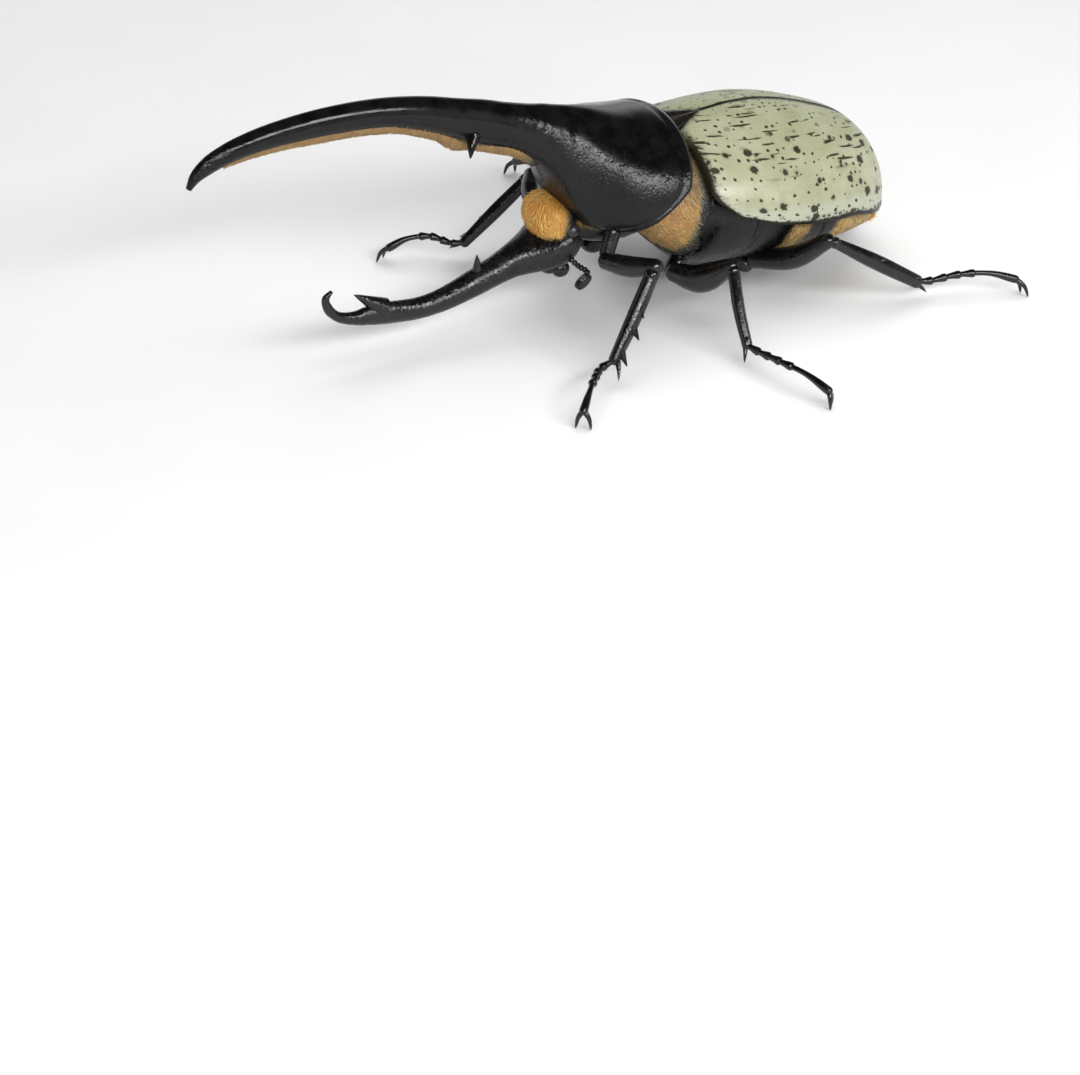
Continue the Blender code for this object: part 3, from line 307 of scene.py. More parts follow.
LEG_SIZES = {
    # root, middle and knee radius of the thigh, then the same three places of the shin
    "front": (1.8, 2.1, 1.65, 1.4, 1.5, 1.15),
    "middle": (2.0, 2.9, 1.6, 1.2, 1.2, 1.05),
    "hind": (2.0, 2.4, 1.6, 1.1, 1.65, 1.45),
}
SHIN_TEETH = {
    # place along the shin, length, root radius
    "front": ((0.42, 1.0, 1.1), (0.59, 2.4, 1.3), (0.9, 2.8, 1.2)),
    "middle": ((0.40, 0.6, 1.0), (0.93, 0.9, 1.0)),
    "hind": ((0.50, 0.8, 1.3), (0.94, 0.9, 1.2)),
}
SPUR_TIPS = {
    # how far each spur ends toward the teeth and sideways
    "front": ((2.8, 0.0),),
    "middle": ((-0.35, -1.12),),
    "hind": ((-0.35, -1.12), (-1.0, 0.96)),
}
SPUR_LENGTH = 3.4
SPUR_RADIUS = 0.62
TOOTH_RISE = 0.72
TOOTH_SLANT = 0.8
KNEE_SWELL = 1.12
SHIN_RIDGES = 6
SHIN_RIDGE_DEPTH = 0.03
COXA_RADII = {"front": 1.65, "middle": 1.9, "hind": 1.9}
COXA_TAPER = 0.9

# Four beads and a long last joint make a foot. Shares run along the foot or along one bead.
FOOT_SETBACK = 0.4
BEADS = 4.0
BEADS_END = 0.58
BEAD_RADIUS = 0.82
BEAD_WAIST = 0.68
BEAD_FLARE = 0.37
BEAD_WIDEST = 0.72
BEAD_LIP = 0.86
LAST_JOINT_RADIUS = 0.75
LAST_JOINT_WAIST = 0.72
LAST_JOINT_FLARE = 0.42
KNUCKLE_RADIUS = 0.84
CLAW_RADIUS = 0.62
CLAW_SPREAD = 0.16
CLAW_ARCH = 0.5


# Curves and tables

def spaced(first, last, count):
    return [first + (last - first) * i / (count - 1) for i in range(count)]


def blend(low, high, share):
    return low + (high - low) * share


def step_between(low, high, value):
    """0 below low, 1 above high and a smooth rise between them."""
    share = min(max((value - low) / (high - low), 0.0), 1.0)
    return share * share * (3.0 - 2.0 * share)


def signed_power(value, power):
    return math.copysign(abs(value) ** power, value)


def curved(start, lead, end, trail, t):
    """A value on the way from one end to the other, with the slope that each end has."""
    return (start * (2 * t**3 - 3 * t**2 + 1) + lead * (t**3 - 2 * t**2 + t)
            + end * (3 * t**2 - 2 * t**3) + trail * (t**3 - t**2))


def read(stations, place, column):
    """One column of a station table at a place along it, on a smooth curve."""
    place = min(max(place, stations[0][0]), stations[-1][0])
    index = 0
    while index < len(stations) - 2 and stations[index + 1][0] <= place:
        index += 1
    before = stations[max(index - 1, 0)]
    left = stations[index]
    right = stations[index + 1]
    after = stations[min(index + 2, len(stations) - 1)]
    span = right[0] - left[0]
    lead = slope(before, left, right, column) * span
    trail = slope(left, right, after, column) * span
    return curved(left[column], lead, right[column], trail, (place - left[0]) / span)


def slope(before, here, after, column):
    """A gentle slope at a station, level where the curve turns back."""
    if before is here:
        return (after[column] - here[column]) / (after[0] - here[0])
    if after is here:
        return (here[column] - before[column]) / (here[0] - before[0])
    rise_before = (here[column] - before[column]) / (here[0] - before[0])
    rise_after = (after[column] - here[column]) / (after[0] - here[0])
    if rise_before * rise_after <= 0.0:
        return 0.0
    return 2.0 * rise_before * rise_after / (rise_before + rise_after)


def refine(keys, spacing):
    """Smooth rows of points through key rows, about one row every so many millimetres."""
    keys = np.asarray(keys, float)
    gaps = np.linalg.norm(np.diff(keys, axis=0), axis=2).mean(axis=1)
    rates = np.diff(keys, axis=0) / gaps[:, None, None]
    slopes = np.empty_like(keys)
    slopes[0] = rates[0]
    slopes[-1] = rates[-1]
    before = gaps[:-1, None, None]
    after = gaps[1:, None, None]
    slopes[1:-1] = (rates[1:] * before + rates[:-1] * after) / (before + after)
    rows = []
    for i, gap in enumerate(gaps):
        steps = max(1, round(gap / spacing))
        for k in range(steps):
            rows.append(curved(keys[i], slopes[i] * gap, keys[i + 1], slopes[i + 1] * gap, k / steps))
    rows.append(keys[-1])
    return np.array(rows)


def smooth_line(points, spacing):
    """Points on a smooth line through the given ones."""
    return refine([[point] for point in points], spacing)[:, 0]


def raised(distance, height, centre, width):
    """Height of a rounded ridge at a distance from where it is measured. A groove is below 0."""
    return height * np.exp(-((distance - centre) / width) ** 2)


def mirrored(point, side):
    x, y, z = point
    return (x * side, y, z)


# Meshes

def put(mesh_name, points, faces):
    """A mesh object from points in millimetres, turned so that its faces point outwards."""
    mesh = bpy.data.meshes.new(mesh_name)
    placed = (np.asarray(points, float) + (0.0, MIDDLE_Y, 0.0)) * MM
    mesh.from_pydata(placed.tolist(), [], faces)
    bm = bmesh.new()
    bm.from_mesh(mesh)
    bmesh.ops.recalc_face_normals(bm, faces=bm.faces)
    if bm.calc_volume(signed=True) < 0.0:
        bmesh.ops.reverse_faces(bm, faces=bm.faces)
    bm.to_mesh(mesh)
    bm.free()
    mesh.shade_smooth()
    made = bpy.data.objects.new(mesh_name, mesh)
    bpy.context.scene.collection.objects.link(made)
    return made


def faces_between(rows, count):
    """Four-sided faces between rings of so many points."""
    faces = []
    for r in range(rows - 1):
        for i in range(count):
            j = (i + 1) % count
            faces.append((r * count + i, r * count + j, (r + 1) * count + j, (r + 1) * count + i))
    return faces


def skin(name, rings):
    """A closed skin over rings of points, with a point in the middle of each end."""
    rings = np.asarray(rings, float)
    rows, count = rings.shape[:2]
    faces = faces_between(rows, count)
    points = list(rings.reshape(-1, 3))
    for row, first in ((rings[0], 0), (rings[-1], (rows - 1) * count)):
        hub = len(points)
        points.append(row.mean(axis=0))
        faces.extend((first + i, first + (i + 1) % count, hub) for i in range(count))
    return put(name, points, faces)


def section_point(angle, half_width, level, up, down, above, below):
    """Side and height of one point round a section of the body."""
    upper = math.sin(angle) >= 0.0
    roundness = above if upper else below
    reach = up if upper else down
    return (half_width * signed_power(math.cos(angle), 2.0 / roundness),
            level + reach * signed_power(math.sin(angle), 2.0 / roundness))


def upright_ring(y, half_width, level, top, bottom, above, sides, below=None):
    """A ring round the body at y, with its roundness above and below its widest level."""
    ring = []
    for k in range(sides):
        angle = TAU * k / sides
        x, z = section_point(angle, half_width, level, top - level, level - bottom, above, below or above)
        ring.append((x, y, z))
    return ring


def leaning_rings(path, sides):
    """A ring across a horn at each point of its path, square to the way it runs."""
    rings = []
    for i, (y, z, tall, wide) in enumerate(path):
        ahead = path[min(i + 1, len(path) - 1)]
        behind = path[max(i - 1, 0)]
        lean = math.atan2(ahead[1] - behind[1], ahead[0] - behind[0])
        ring = []
        for k in range(sides):
            x, lift = section_point(TAU * k / sides, wide, 0.0, tall, tall, 2.0, 2.0)
            ring.append((x, y - lift * math.sin(lean), z + lift * math.cos(lean)))
        rings.append(ring)
    return rings


def tube_rings(points, radii, sides, up=(0, 0, 1), ridges=0, ridge_depth=0.0):
    """Rings of a limb along points, with ridges that run along it."""
    rings = []
    for i, point in enumerate(points):
        ahead = points[min(i + 1, len(points) - 1)]
        behind = points[max(i - 1, 0)]
        along = Vector(ahead - behind).normalized()
        lift = Vector(up)
        lift = (lift - along * lift.dot(along)).normalized()
        across = along.cross(lift)
        ring = []
        for k in range(sides):
            angle = TAU * k / sides
            reach = radii[i] * (1.0 + ridge_depth * math.cos(ridges * angle))
            spoke = across * (reach * math.cos(angle)) + lift * (reach * math.sin(angle))
            ring.append(Vector(point) + spoke)
        rings.append(ring)
    return rings


CAP_SHARES = (0.25, 0.5, 0.72, 0.88, 0.97)
CAP_REACH = 0.9
LIMB_SPACING = 0.35
TAPER_LENGTH = 30.0


def cap(end, before, radius):
    """Places and radii that dome one end of a limb."""
    way = end - before
    way /= np.linalg.norm(way)
    return [(end + way * (radius * CAP_REACH * share), radius * math.sqrt(1.0 - share * share))
            for share in CAP_SHARES]


def limb(name, points, radii, sides=24, up=(0, 0, 1), ridges=0, ridge_depth=0.0):
    """A limb with domed ends."""
    line = smooth_line(points, LIMB_SPACING)
    keys = [(place, radius, 0.0) for place, radius in zip(spaced(0.0, TAPER_LENGTH, len(radii)), radii)]
    sizes = smooth_line(keys, 1.0)
    thick = np.interp(np.linspace(0, 1, len(line)), np.linspace(0, 1, len(sizes)), sizes[:, 1])
    rows = [*cap(line[0], line[1], thick[0])[::-1], *zip(line, thick), *cap(line[-1], line[-2], thick[-1])]
    places, reach = zip(*rows)
    return skin(name, tube_rings(places, reach, sides, up, ridges, ridge_depth))


THORN_SIDES = 14
THORN_SPACING = 0.16
THORN_SIDE_GUIDE = (0.31, 0.47, 0.83)


def thorn(name, root, tip, radius, bend=(0, 0, 0), blunt=0.12, flare=1.0):
    """A tooth, spur or claw: wide at its root, tapering to a rounded point."""
    root = np.array(root, float)
    tip = np.array(tip, float)
    middle = (root + tip) * 0.5 + np.array(bend, float)
    line = smooth_line((root, middle, tip), THORN_SPACING)
    radii = []
    for share in np.linspace(0.0, 1.0, len(line)):
        taper = blunt + (1.0 - blunt) * (1.0 - share) ** flare
        radii.append(radius * taper * math.sqrt(max(1.0 - share**12, 0.02)))
    return skin(name, tube_rings(line, radii, THORN_SIDES, up=np.cross(THORN_SIDE_GUIDE, tip - root)))


POLE_GAP = 0.04


def ball(name, centre, radii, turn=None, rows=20, sides=28):
    """An egg shape of its own rings."""
    rings = []
    for angle in spaced(POLE_GAP, math.pi - POLE_GAP, rows):
        ring = []
        for k in range(sides):
            swing = TAU * k / sides
            point = Vector((radii[0] * math.cos(swing) * math.sin(angle),
                            radii[1] * math.cos(angle),
                            radii[2] * math.sin(swing) * math.sin(angle)))
            if turn:
                point = turn @ point
            ring.append(point + Vector(centre))
        rings.append(ring)
    return skin(name, rings)


def joined(name, pieces):
    """Several meshes made one piece."""
    bm = bmesh.new()
    for piece in pieces:
        bm.from_mesh(piece.data)
    mesh = bpy.data.meshes.new(name)
    bm.to_mesh(mesh)
    bm.free()
    mesh.shade_smooth()
    for piece in pieces:
        bpy.data.objects.remove(piece)
    made = bpy.data.objects.new(name, mesh)
    bpy.context.scene.collection.objects.link(made)
    return made


def pressed(piece, depth):
    """Moves each point of a mesh along its normal by a depth in millimetres at its place."""
    mesh = piece.data
    moves = []
    for vert in mesh.vertices:
        x, y, z = vert.co / MM
        moves.append(vert.normal * (depth(x, y - MIDDLE_Y, z) * MM))
    for vert, move in zip(mesh.vertices, moves):
        vert.co += move
    mesh.update()
    return piece


def dress(piece, finish, slot_name, *nodes):
    """Gives a piece its finish, its body and the CAD nodes that it stands for."""
    piece.data.materials.clear()
    piece.data.materials.append(finish)
    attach(piece, "root")
    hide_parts(*nodes)


# Shell

def dome_point(y, angle):
    """Side and height of one point round the dome at a place along it."""
    half, level, top, bottom, above, below = (read(DOME_STATIONS, y, column) for column in range(1, 7))
    return section_point(angle, half, level, top - level, level - bottom, above, below)


def rim_y(z):
    """Where the rear rim of the dome lies at a height."""
    share = (z - DOME_RIM_LOW[1]) / (DOME_RIM_TOP[1] - DOME_RIM_LOW[1])
    rise = (z - DOME_CORNER_LOW[1]) / (DOME_CORNER_TOP[1] - DOME_CORNER_LOW[1])
    rim = blend(DOME_RIM_LOW[0], DOME_RIM_TOP[0], share)
    corner = blend(DOME_CORNER_LOW[0], DOME_CORNER_TOP[0], rise)
    return min(rim, corner)


def dome_fan_ring(share, sides):
    """A ring between the upright ring at the fan's front and the slanting rear rim."""
    ring = []
    for k in range(sides):
        angle = TAU * k / sides
        y = DOME_FAN_FRONT
        for _ in range(4):
            x, z = dome_point(y, angle)
            y = blend(DOME_FAN_FRONT, rim_y(z), share)
        ring.append((x, y, z))
    return ring


def rim_relief(x, y, z):
    """The bead and the groove along the rear rim of the dome."""
    behind = (rim_y(z) - y) * RIM_SLANT
    if y < -40.0 or behind < -0.2:
        return 0.0
    return raised(behind, *RIM_BEAD) + raised(behind, *RIM_GROOVE)


def make_great_shell():
    """The dome and the great horn in one smooth surface, with a rolled rim at the rear."""
    keys = leaning_rings(GREAT_HORN, DOME_SIDES)
    for y, half, level, top, bottom, above, below in DOME_STATIONS[1:6]:
        keys.append(upright_ring(y, half, level, top, bottom, above, DOME_SIDES, below))
    for share in DOME_FAN_SHARES:
        keys.append(dome_fan_ring(share, DOME_SIDES))
    rings = refine(keys, 0.55)
    rim = rings[-1]
    inward = rim.mean(axis=0) - rim
    inward /= np.linalg.norm(inward, axis=1)[:, None]
    turned = [rim + inward * deep + np.array((0.0, -ahead, 0.0)) for deep, ahead in RIM_TURN]
    shell = skin("great_shell", np.concatenate([rings, turned]))
    pressed(shell, rim_relief)
    teeth = []
    for side in (1, -1):
        root = mirrored(HORN_TOOTH_ROOT, side)
        tip = mirrored(HORN_TOOTH_TIP, side)
        teeth.append(thorn("tooth", root, tip, HORN_TOOTH_RADIUS, bend=(0.4 * side, -0.3, 0), flare=0.95))
    return joined("great_shell", [shell, *teeth])


def underside(y):
    """The lowest line of the great horn and the dome: its height, and its width and depth there."""
    if y < GREAT_HORN[-1][0]:
        half = read(GREAT_HORN, y, 2)
        return read(GREAT_HORN, y, 1) - half, read(GREAT_HORN, y, 3), half
    level = read(DOME_STATIONS, y, 2)
    bottom = read(DOME_STATIONS, y, 4)
    if y < DOME_STATIONS[1][0]:
        share = (y - GREAT_HORN[-1][0]) / (DOME_STATIONS[1][0] - GREAT_HORN[-1][0])
        half = GREAT_HORN[-1][2]
        start = (GREAT_HORN[-1][1] - half, GREAT_HORN[-1][3], half)
        last = DOME_STATIONS[1]
        end = (last[4], last[1], last[2] - last[4])
        return tuple(blend(a, b, share) for a, b in zip(start, end))
    return bottom, read(DOME_STATIONS, y, 1), level - bottom


def make_horn_hair_skin():
    """The strip of hair under the great horn: a shelf that follows the horn, and a round lower side."""
    rings = []
    for y in spaced(HORN_HAIR[0][0], HORN_HAIR[-1][0], HORN_HAIR_ROWS):
        z, half_width, depth = underside(y)
        fall = (underside(y + 0.4)[0] - underside(y - 0.4)[0]) / 0.8
        down = Vector((0.0, fall, -1.0)).normalized()
        reach = half_width * read(HORN_HAIR, y, 2)
        behind_teeth = step_between(-60.0, -56.5, y)
        hang = read(HORN_HAIR, y, 1) * blend(HORN_HAIR_HANG, HORN_HAIR_REAR_HANG, behind_teeth)
        upper = []
        lower = []
        for share in spaced(-1.0, 1.0, 9):
            x = reach * share
            lift = depth * (1.0 - math.sqrt(1.0 - (x / half_width) ** 2))
            shelf = Vector((x, y, z + lift)) - down * HORN_HAIR_SUNK
            upper.append(shelf)
            lower.append(shelf + down * (HORN_HAIR_SUNK + hang * math.sqrt(1.001 - share * share)))
        rings.append(upper + lower[::-1])
    return skin("horn_hair", rings)


def wing_front(x, z_share):
    """Where a wing cover starts: behind the scutellum, and further back at its shoulder."""
    beside = SCUTELLUM_TIP + 0.5 - abs(SCUTELLUM_FRONT - SCUTELLUM_TIP) * min(x / SCUTELLUM_HALF, 1.0)
    shoulder = WING_SHOULDER + WING_SIDE_SETBACK * max(0.0, 1.0 - z_share * WING_CORNER) ** WING_CORNER
    return max(beside, shoulder)


def wing_rows(side):
    """The outer and the inner face of a wing cover, as rows of points from front to rear."""
    outer = []
    inner = []
    for s in range(WING_ROWS):
        share = (s / (WING_ROWS - 1)) ** WING_ROW_CROWDING
        outer_row = []
        inner_row = []
        for angle in spaced(0.0, 0.5 * math.pi, WING_POINTS_ACROSS):
            start = wing_front(WING_STATIONS[0][1] * math.cos(angle), math.sin(angle))
            y = start + (WING_STATIONS[-1][0] - start) * share
            half, top, edge, roundness = (read(WING_STATIONS, y, column) for column in range(1, 5))
            thick = min(WING_THICK, 0.45 * half, 0.4 * (top - edge))
            for row, shrink in ((outer_row, 0.0), (inner_row, thick)):
                x = (half - shrink) * max(math.cos(angle), 0.0) ** (2.0 / roundness)
                z = edge + (top - edge - shrink) * math.sin(angle) ** (2.0 / roundness)
                row.append((side * max(x, SUTURE), y, z))
        outer.append(outer_row)
        inner.append(inner_row)
    return np.array(outer), np.array(inner)


def lengths_along(rows, axis):
    """How far each point lies from the first one, across the rows or along them."""
    steps = np.linalg.norm(np.diff(rows, axis=axis), axis=2)
    first = np.zeros_like(steps[:, :1] if axis else steps[:1])
    return np.concatenate([first, np.cumsum(steps, axis=axis)], axis=axis)


def outward_normals(rows, side):
    """The direction straight out of a wing cover at each point of its outer face."""
    normal = np.cross(np.gradient(rows, axis=0), np.gradient(rows, axis=1))
    normal /= np.maximum(np.linalg.norm(normal, axis=2), 1e-9)[:, :, None]
    middle = normal[WING_ROWS // 2, WING_POINTS_ACROSS // 2]
    return normal if (middle * (side, 0.0, 1.0)).sum() >= 0.0 else -normal


def make_wing_cover(side, name):
    """One wing cover: a bent shell with a raised seam, a rolled margin and its own measures."""
    outer, inner = wing_rows(side)
    from_margin = lengths_along(outer, 1)
    measures = {"from_seam": from_margin[:, -1:] - from_margin, "from_margin": from_margin,
                "from_front": lengths_along(outer, 0)}
    relief = sum(raised(measures[word], *line) for word, line in WING_RELIEF)
    outer = outer + outward_normals(outer, side) * relief[:, :, None]

    rings = np.concatenate([outer, inner[:, ::-1]], axis=1)
    count = 2 * WING_POINTS_ACROSS
    faces = faces_between(WING_ROWS, count)
    for first in (0, (WING_ROWS - 1) * count):
        for i in range(WING_POINTS_ACROSS - 1):
            faces.append((first + i, first + i + 1, first + count - 2 - i, first + count - 1 - i))
    wing = put(name, rings.reshape(-1, 3), faces)
    for word, values in measures.items():
        both = np.concatenate([values, values[:, ::-1]], axis=1).reshape(-1)
        wing.data.attributes.new(word, "FLOAT", "POINT").data.foreach_set("value", both)
    return wing


def crease(x, y, z):
    """The shallow crease down the middle of the scutellum."""
    return raised(x, *SCUTELLUM_CREASE) if z > SCUTELLUM_TOP - 1.0 else 0.0


def make_scutellum():
    """The small three-cornered plate between the wing covers."""
    rows = []
    for share in spaced(0.0, 1.0, 26):
        y = blend(SCUTELLUM_FRONT - 0.6, SCUTELLUM_TIP + 0.1, share)
        half = SCUTELLUM_HALF * (1.0 - share) ** SCUTELLUM_TAPER * 0.93 + 0.25
        level = SCUTELLUM_TOP - SCUTELLUM_EDGE
        top = SCUTELLUM_TOP - SCUTELLUM_FALL * share
        bottom = SCUTELLUM_TOP - SCUTELLUM_THICK
        rows.append(upright_ring(y, half, level, top, bottom, SCUTELLUM_ROUNDNESS, 40))
    return pressed(skin("scutellum_plate", refine(rows, 0.3)), crease)


# Trunk

def trunk_section(y):
    """Half width, widest level, top, bottom and lower roundness of the trunk under the wing covers."""
    half, level, bottom, below = (read(TRUNK_STATIONS, y, column) for column in range(1, 5))
    if y < WING_STATIONS[0][0]:
        return half, level, TRUNK_FRONT_TOP - TRUNK_CLEARANCE, bottom, below
    top = read(WING_STATIONS, y, 2) - TRUNK_CLEARANCE
    half = min(half, read(WING_STATIONS, y, 1) - TRUNK_CLEARANCE)
    return half, level, max(top, level + 1.0), bottom, below


def hair_plane_y(z):
    """Where the hair of the chest ends at a height."""
    share = (z - HAIR_PLANE_LOW[1]) / (HAIR_PLANE_HIGH[1] - HAIR_PLANE_LOW[1])
    return blend(HAIR_PLANE_LOW[0], HAIR_PLANE_HIGH[0], share)


def trunk_ring(front, share, sides=120):
    """A ring of the trunk: upright at a share of 0, and in the slanting plane where the hair ends at 1."""
    ring = []
    for k in range(sides):
        y = front
        for _ in range(5):
            half, level, top, bottom, below = trunk_section(y)
            x, z = section_point(
                TAU * k / sides, half, level, top - level, level - bottom, TRUNK_ROUNDNESS, below)
            y = blend(front, hair_plane_y(z), share)
        ring.append((x, y, z))
    return ring


def make_thorax_hair_skin():
    """The hairy band of the chest between the dome and the wing covers."""
    return skin("thorax_hair", [trunk_ring(TRUNK_STATIONS[0][0], share) for share in spaced(0.0, 1.0, 22)])


def chest_seams(x, y, z):
    """The seam down the middle of the hind chest and the one across its side plates."""
    seam = raised(x, *CHEST_SEAM) if z < 12.0 else 0.0
    plate = raised(y + 1.5 - 0.25 * z, *SIDE_PLATE_SEAM) if z < 22.0 else 0.0
    return min(seam, plate)


def make_hind_chest():
    """The glossy rear plates of the chest, with the seams between them."""
    rings = [trunk_ring(ABDOMEN_FRONT, share) for share in spaced(1.0, 0.0, 46)]
    return pressed(skin("hind_chest", rings), chest_seams)


def abdomen_laps(x, y, z):
    """A step down behind each seam of the hind body."""
    since = min((y - seam for seam in ABDOMEN_SEAMS if y >= seam - 0.01), default=0.0)
    return raised(since, *ABDOMEN_LAP) - ABDOMEN_SUNK


def make_abdomen():
    """Rings of the hind body, each lapping over the next."""
    rings = [trunk_ring(y, 0.0) for y in spaced(ABDOMEN_FRONT, ABDOMEN_END, 120)]
    return pressed(skin("abdomen_rings", rings), abdomen_laps)


def make_tail_skin():
    """The rounded end of the body, which carries the fringe."""
    rings = []
    for share in spaced(0.0, 1.0, 16):
        y = blend(TAIL_FRONT, TAIL_END, share)
        half, level, top, bottom, _ = trunk_section(min(y, TAIL_LAST_SECTION))
        tuck = math.sqrt(max(1.0 - share**3, 0.02))
        top = level + (top - level) * TAIL_TOP_SHARE * tuck
        bottom = level - (level - bottom) * tuck
        rings.append(upright_ring(y, half * tuck, level, top, bottom, 2.0, 64))
    return skin("tail_hair", rings)


def make_chest_plate():
    """The plate under the front of the chest, with the knob between the front legs."""
    rings = refine([upright_ring(*station, CHEST_ROUNDNESS, 72) for station in CHEST_STATIONS], 0.5)
    knob = ball("knob", CHEST_KNOB_CENTRE, CHEST_KNOB_RADII)
    return joined("fore_chest", [skin("fore_chest", rings), knob])


# Head

def make_head():
    """The head and the lower horn in one surface, with its two teeth."""
    sides = 64
    keys = leaning_rings(LOWER_HORN, sides)
    for y, half, level, top, bottom in HEAD_STATIONS:
        keys.append(upright_ring(y, half, level, top, bottom, HEAD_ROUNDNESS, sides))
    head = skin("lower_horn_and_head", refine(keys, 0.4))
    teeth = [thorn("tooth", (0, root_y, root_z), (0, tip_y, tip_z), radius, flare=1.05, blunt=0.1)
             for root_y, root_z, tip_y, tip_z, radius in LOWER_HORN_TEETH]
    return joined("lower_horn_and_head", [head, *teeth])


def make_eye(side, name):
    return ball(name, mirrored(EYE_CENTRE, side), (EYE_RADIUS,) * 3, rows=30, sides=44)


def make_feeler(side, name):
    """A beaded feeler that ends in a club of three leaves."""
    line = smooth_line([mirrored(point, side) for point in FEELER_PATH], 0.12)
    radii = []
    for i in range(len(line)):
        phase = (i / (len(line) - 1) * FEELER_BEADS) % 1.0
        swell = math.sin(math.pi * min(phase * 1.05, 1.0)) ** 0.6
        radii.append(FEELER_RADIUS * blend(FEELER_WAIST, 1.0, swell))
    stem = skin("stem", tube_rings(line, radii, 16))
    turn = Matrix.Rotation(math.radians(CLUB_PITCH), 3, "X")
    leaves = []
    for aside in CLUB_LEAF_PLACES:
        centre = mirrored((CLUB_CENTRE[0] + aside, *CLUB_CENTRE[1:]), side)
        leaves.append(ball("leaf", centre, CLUB_LEAF_RADII, turn=turn, rows=18, sides=22))
    return joined(name, [stem, *leaves])


def make_mouth():
    lobes = [ball("lobe", (x, y, z), (rx, ry, rz)) for x, y, z, rx, ry, rz in MOUTH_LOBES]
    return joined("mouthparts_set", lobes)


def make_neck_skin():
    return ball("neck_hair", NECK_CENTRE, NECK_RADII, rows=36, sides=60)


# Legs

SHIN_OUT = {
    # across a left shin, toward its teeth
    "front": (1.0, 0.45, 0.1),
    "middle": (0.25, -0.2, 1.0),
    "hind": (0.75, 0.1, 0.8),
}


def shin_out(leg, along):
    """The direction across a shin that its teeth point to."""
    x, y, z = SHIN_OUT[leg.split("_")[0]]
    lean = Vector((x if "left" in leg else -x, y, z))
    return (lean - along * lean.dot(along)).normalized()


def make_shin(leg, name):
    """A ridged shin with a round knee, teeth along one edge and spurs at its end."""
    pair = leg.split("_")[0]
    radii = LEG_SIZES[pair][3:]
    line = [Vector(point) for point in smooth_line(LEGS[leg]["tibia"], 0.4)]
    end = line[-1]
    along = (end - line[0]).normalized()
    out = shin_out(leg, along)
    sideways = out.cross(along)
    shaft = limb("shaft", LEGS[leg]["tibia"], radii, 36, out, SHIN_RIDGES, SHIN_RIDGE_DEPTH)
    pieces = [shaft, ball("knee", line[0], (radii[0] * KNEE_SWELL,) * 3)]
    for place, reach, radius in SHIN_TEETH[pair]:
        base = line[round(place * (len(line) - 1))]
        edge = float(np.interp(place, (0.0, 0.5, 1.0), radii))
        tip = base + out * (edge + reach * TOOTH_RISE) + along * (reach * TOOTH_SLANT)
        pieces.append(thorn("tooth", base - along * 0.3, tip, radius, bend=out * 0.1, flare=1.2))
    for toward_teeth, aside in SPUR_TIPS[pair]:
        lean = out * toward_teeth + sideways * aside
        tip = end + along * SPUR_LENGTH + lean
        pieces.append(thorn("spur", end + lean * 0.3, tip, SPUR_RADIUS, bend=out * 0.15, flare=0.8))
    return joined(name, pieces)


def foot_radius(share, beads_end):
    """Radius of a foot at a share of its length: beads that flare to a lip, then the last joint."""
    if share < beads_end:
        phase = (BEADS * share / beads_end) % 1.0
        if phase < BEAD_LIP:
            return BEAD_RADIUS * (BEAD_WAIST + BEAD_FLARE * min(phase / BEAD_WIDEST, 1.0) ** 1.3)
        since = (phase - BEAD_LIP) / (1.0 - BEAD_LIP)
        return BEAD_RADIUS * blend(BEAD_WAIST + BEAD_FLARE, BEAD_WAIST, since)
    since = (share - beads_end) / (1.0 - beads_end)
    return LAST_JOINT_RADIUS * (LAST_JOINT_WAIST + LAST_JOINT_FLARE * step_between(0.2, 0.95, since))


def make_foot(leg, name):
    """Four flared beads, one long curved joint and two claws that end on the floor."""
    tarsus = LEGS[leg]["tarsus"]
    start = Vector(LEGS[leg]["tibia"][-1]).lerp(Vector(tarsus[0]), FOOT_SETBACK)
    line = smooth_line((start, *tarsus), 0.1)
    count = len(line)
    beads_end = int(BEADS_END * count) / count
    radii = [foot_radius(i / count, beads_end) for i in range(count)]
    end = Vector(line[-1])
    pieces = [skin("joints", tube_rings(line, radii, 22)),
              ball("knuckle", end, (KNUCKLE_RADIUS,) * 3, rows=12, sides=16)]
    for tip in map(Vector, LEGS[leg]["claws"]):
        bend = Vector((tip.x - end.x, tip.y - end.y, 0.0)) * CLAW_SPREAD + Vector((0, 0, CLAW_ARCH))
        root = end - (tip - end).normalized() * 0.2
        pieces.append(thorn("claw", root, tip, CLAW_RADIUS, bend=bend, flare=0.7, blunt=0.25))
    foot = joined(name, pieces)
    for vert in foot.data.vertices:
        vert.co.z = max(vert.co.z, 0.0)
    return foot


def make_leg(leg, finish):
    """One leg in four pieces, hip to foot."""
    pair = leg.split("_")[0]
    coxa_radius = COXA_RADII[pair]
    coxa = limb(leg + "_hip", LEGS[leg]["coxa"], (coxa_radius, coxa_radius * COXA_TAPER))
    thigh = limb(leg + "_thigh", LEGS[leg]["femur"], LEG_SIZES[pair][:3], sides=40)
    shin = make_shin(leg, leg + "_shin")
    foot = make_foot(leg, leg + "_foot")
    for piece, node in ((coxa, "coxa"), (thigh, "femur"), (shin, "tibia"), (foot, "tarsus")):
        dress(piece, finish, "leg", node + "_" + leg)


# Paint and plastic: the helpers that build each finish

